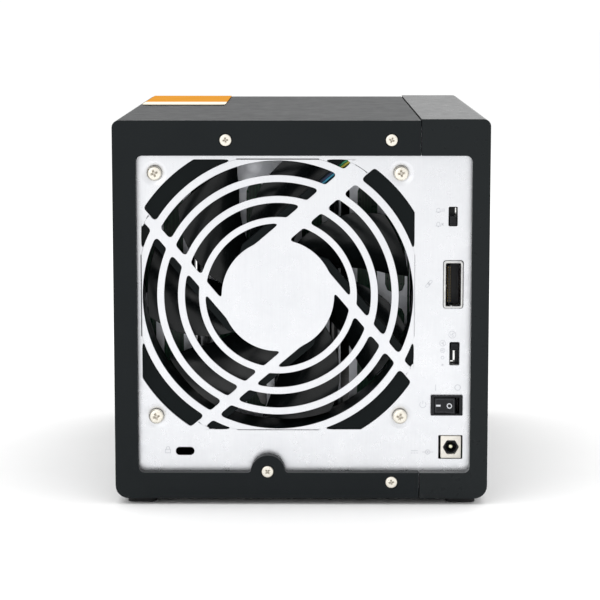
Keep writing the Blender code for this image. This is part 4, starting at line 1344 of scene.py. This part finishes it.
def rocker_marks(ink, border_highlight):
    """A bar and a ring, one on each half of the rocker's face, and a fine raised border inked
    lighter than the rocker, as a painted highlight along the edges of each half.
    """
    marks = Shape()
    lines = Shape()
    for side in (1, -1):
        plane = rocker_plane(side)
        if side > 0:
            marks.ribbon([(1.9, 0), (4.0, 0)], 0.8, 0.0, INK_THICK, plane=plane)
        else:
            marks.ribbon(circle((-2.0, 0), 0.97, 32), 0.42, 0.0, INK_THICK, True, plane)
        # The border's lighter ink is a painted highlight where the edges of the face catch the
        # light.
        near = side * 0.12
        far = side * (ROCKER_HALF - 0.5)
        lines.ribbon([(near, BORDER_HALF), (far, BORDER_HALF), (far, -BORDER_HALF),
                      (near, -BORDER_HALF)], 0.16, -0.02, 0.06, plane=plane)
    marks.finish("rocker_marks", ink, "power_rocker", "cable_black")
    lines.finish("rocker_border_highlight", border_highlight, "power_rocker", "dark_plastic")


# ---------------------------------------------------------------- trays, boards and small parts

FRONTWARD = (0, -1, 0)
LOCK_COLLAR = ((2.1, 0.1), (2.5, 0.3), (3.2, 0.3), (3.5, 0.08), (3.5, -0.8), (2.1, -0.8),
               (2.1, 0.1))
LOCK_BARREL = ((0, 0.1), (1.7, 0.1), (1.95, -0.05), (1.95, -0.9), (0, -0.9))
TRAY_DOT = ((0, 0.03), (0.42, 0.03), (0.45, 0.0), (0.45, -0.1), (0, -0.1))


def tray_details(lever_look, bezel_look, steel, ink):
    """On each tray: a ribbed grip on the lever, a key lock in the tray's face, and one dot for
    each bay number."""
    for i in BAYS:
        middle = node_centre(f"lever_{i}")[0]
        low, high = node_box(f"lever_{i}")
        face = low[1]
        grip = Shape()
        for row in range(3):
            z = high[2] - 3.0 - row * 1.9
            grip.block((middle - 8.5, face - 0.32, z - 0.4), (middle + 8.5, face + 0.5, z + 0.4),
                       0.25, 2)
        grip.finish(f"lever_{i}_grip", lever_look, f"tray_lever_{i}", "dark_plastic")

        tray_low, tray_high = node_box(f"tray_{i}")
        x, y, z = place = (middle, tray_low[1], tray_high[2] - 12.5)
        collar = Shape().turned(LOCK_COLLAR, place, FRONTWARD, 48)
        collar.finish(f"tray_{i}_lock_collar", bezel_look, f"drive_tray_{i}", "dark_plastic")
        barrel = Shape().turned(LOCK_BARREL, place, FRONTWARD, 40)
        barrel.cut(Shape().block((x - 0.35, y - 1.0, z - 1.2), (x + 0.35, y + 0.6, z + 1.2), 0.1))
        barrel.finish(f"tray_{i}_lock_barrel", steel, f"drive_tray_{i}", "screw_metal")
        dots = Shape()
        for dot in range(i):
            dots.turned(TRAY_DOT, (middle - 8.8 + dot * 1.7, y, tray_high[2] - 5.2), FRONTWARD, 20)
        dots.finish(f"tray_{i}_dots", ink, f"drive_tray_{i}", "label")


def chip(shape, place, size, facing):
    """A packaged chip on a board, seen edge on. place is its middle and facing its board's
    normal, 'X' or 'Y'."""
    x, y, z = place
    wide, tall, thick = size
    side = wide / 2
    up = tall / 2
    if facing == "X":
        shape.block((x, y - side, z - up), (x + thick, y + side, z + up), 0.15, 1)
    else:
        shape.block((x - side, y, z - up), (x + side, y + thick, z + up), 0.15, 1)


def legs(shape, place, size, facing, count):
    """The rows of thin legs on both long sides of a chip."""
    x, y, z = place
    wide, tall = size
    for side in (-1, 1):
        for k in range(count):
            at = -tall / 2 + tall * (k + 0.5) / count
            if facing == "X":
                a = y + side * (wide / 2 + 0.35)
                shape.block((x, a - 0.4, z + at - 0.16), (x + 0.25, a + 0.4, z + at + 0.16))
            else:
                a = x + side * (wide / 2 + 0.35)
                shape.block((a - 0.4, y, z + at - 0.16), (a + 0.4, y + 0.25, z + at + 0.16))


def capacitor(can, sleeve, place, radius, height, direction):
    """An upright can capacitor: a sleeve with a scored metal top."""
    sleeve.turned(((0, 0), (radius, 0), (radius, height - 0.3), (radius - 0.3, height),
                   (radius - 0.7, height), (radius - 0.7, height - 0.4), (0, height - 0.4)),
                  place, direction, 32)
    lifted = Vector(place) + Vector(direction) * (height - 0.55)
    can.turned(((0, 0.3), (radius - 0.75, 0.3), (radius - 0.75, 0), (0, 0)), lifted, direction, 32)


# On the controller board: each chip's Y and Z, width and height, and each capacitor's Y and Z
CHIPS = ((62.0, 96.0, 14.0, 14.0), (60.0, 66.0, 9.0, 12.0), (84.0, 138.0, 6.0, 9.0),
         (52.0, 132.0, 8.0, 12.0), (56.0, 40.0, 7.0, 10.0))
CAPACITORS = ((76.0, 72.0), (76.0, 80.5), (70.0, 110.0), (48.0, 50.0), (48.0, 110.0))
CHIP_THICK = 1.1
LEG_PITCH = 1.1


def boards(black, metal, sleeve_look):
    """Parts on the controller board, which stands beside the fan, and on the backplane."""
    chips = Shape()
    pins = Shape()
    cans = Shape()
    sleeves = Shape()
    side = node_box("controller_board")[1][0]
    for y, z, wide, tall in CHIPS:
        chip(chips, (side + 0.05, y, z), (wide, tall, CHIP_THICK), "X")
        legs(pins, (side + 0.02, y, z), (wide, tall - 1.2), "X", int(tall / LEG_PITCH))
    for y, z in CAPACITORS:
        capacitor(cans, sleeves, (side + 0.02, y, z), 2.9, 7.2, (1, 0, 0))
    front = node_box("backplane_board")[0][1]
    for i in BAYS:
        low, high = node_box(f"drive_socket_{i}")
        middle = (low[0] + high[0]) / 2
        chip(chips, (middle + 12.0, front - 1.15, 104.0), (5.0, 6.5, CHIP_THICK), "Y")
        legs(pins, (middle + 12.0, front - 0.28, 104.0), (5.0, 5.6), "Y", 5)
        capacitor(cans, sleeves, (middle + 13.0, front - 0.02, 46.0), 2.2, 5.0, FRONTWARD)
        slot = Shape().block((middle - 1.3, low[1] - 0.02, low[2] + 2.0),
                             (middle + 1.3, low[1] + 0.4, high[2] - 2.0))
        slot.finish(f"socket_{i}_contacts", metal, "enclosure", "screw_metal")
    chips.finish("board_chips", black, "enclosure", "dark_plastic")
    pins.finish("board_legs", metal, "enclosure", "screw_metal")
    cans.finish("capacitor_tops", metal, "enclosure", "screw_metal")
    sleeves.finish("capacitor_sleeves", sleeve_look, "enclosure", "dark_plastic")


# ---------------------------------------------------------------- the whole scene

stage()
LOOKS = paint_nodes()
METAL = LOOKS["link_shell"]
BLACK = LOOKS["link_insert"]
SCREW = LOOKS["fan_screw_1"]
rear_panel(LOOKS["rear_panel"])
fan_rotor(LOOKS["fan_rotor"])
fan_wires()
fan_plug(LOOKS["fan_header"])
screws(SCREW)
data_link(METAL, BLACK, plain("gold_contact"))
power_inlet(LOOKS["power_socket"], BLACK, LOOKS["power_pin"])
switches(METAL, BLACK, plain("bright_strip"))
panel_marks(print_ink("faint_ink", (0.52, 0.53, 0.56)))
# The rocker's border is inked lighter grey: a painted highlight along its face's edges.
rocker_marks(print_ink("pale_ink", (0.56, 0.57, 0.60)),
             print_ink("border_highlight_ink", (0.035, 0.037, 0.042)))
tray_details(LOOKS["lever_1"], LOOKS["front_bezel"], SCREW,
             print_ink("pale_dot", (0.42, 0.43, 0.45)))
boards(plain("chip_black"), METAL, BLACK)
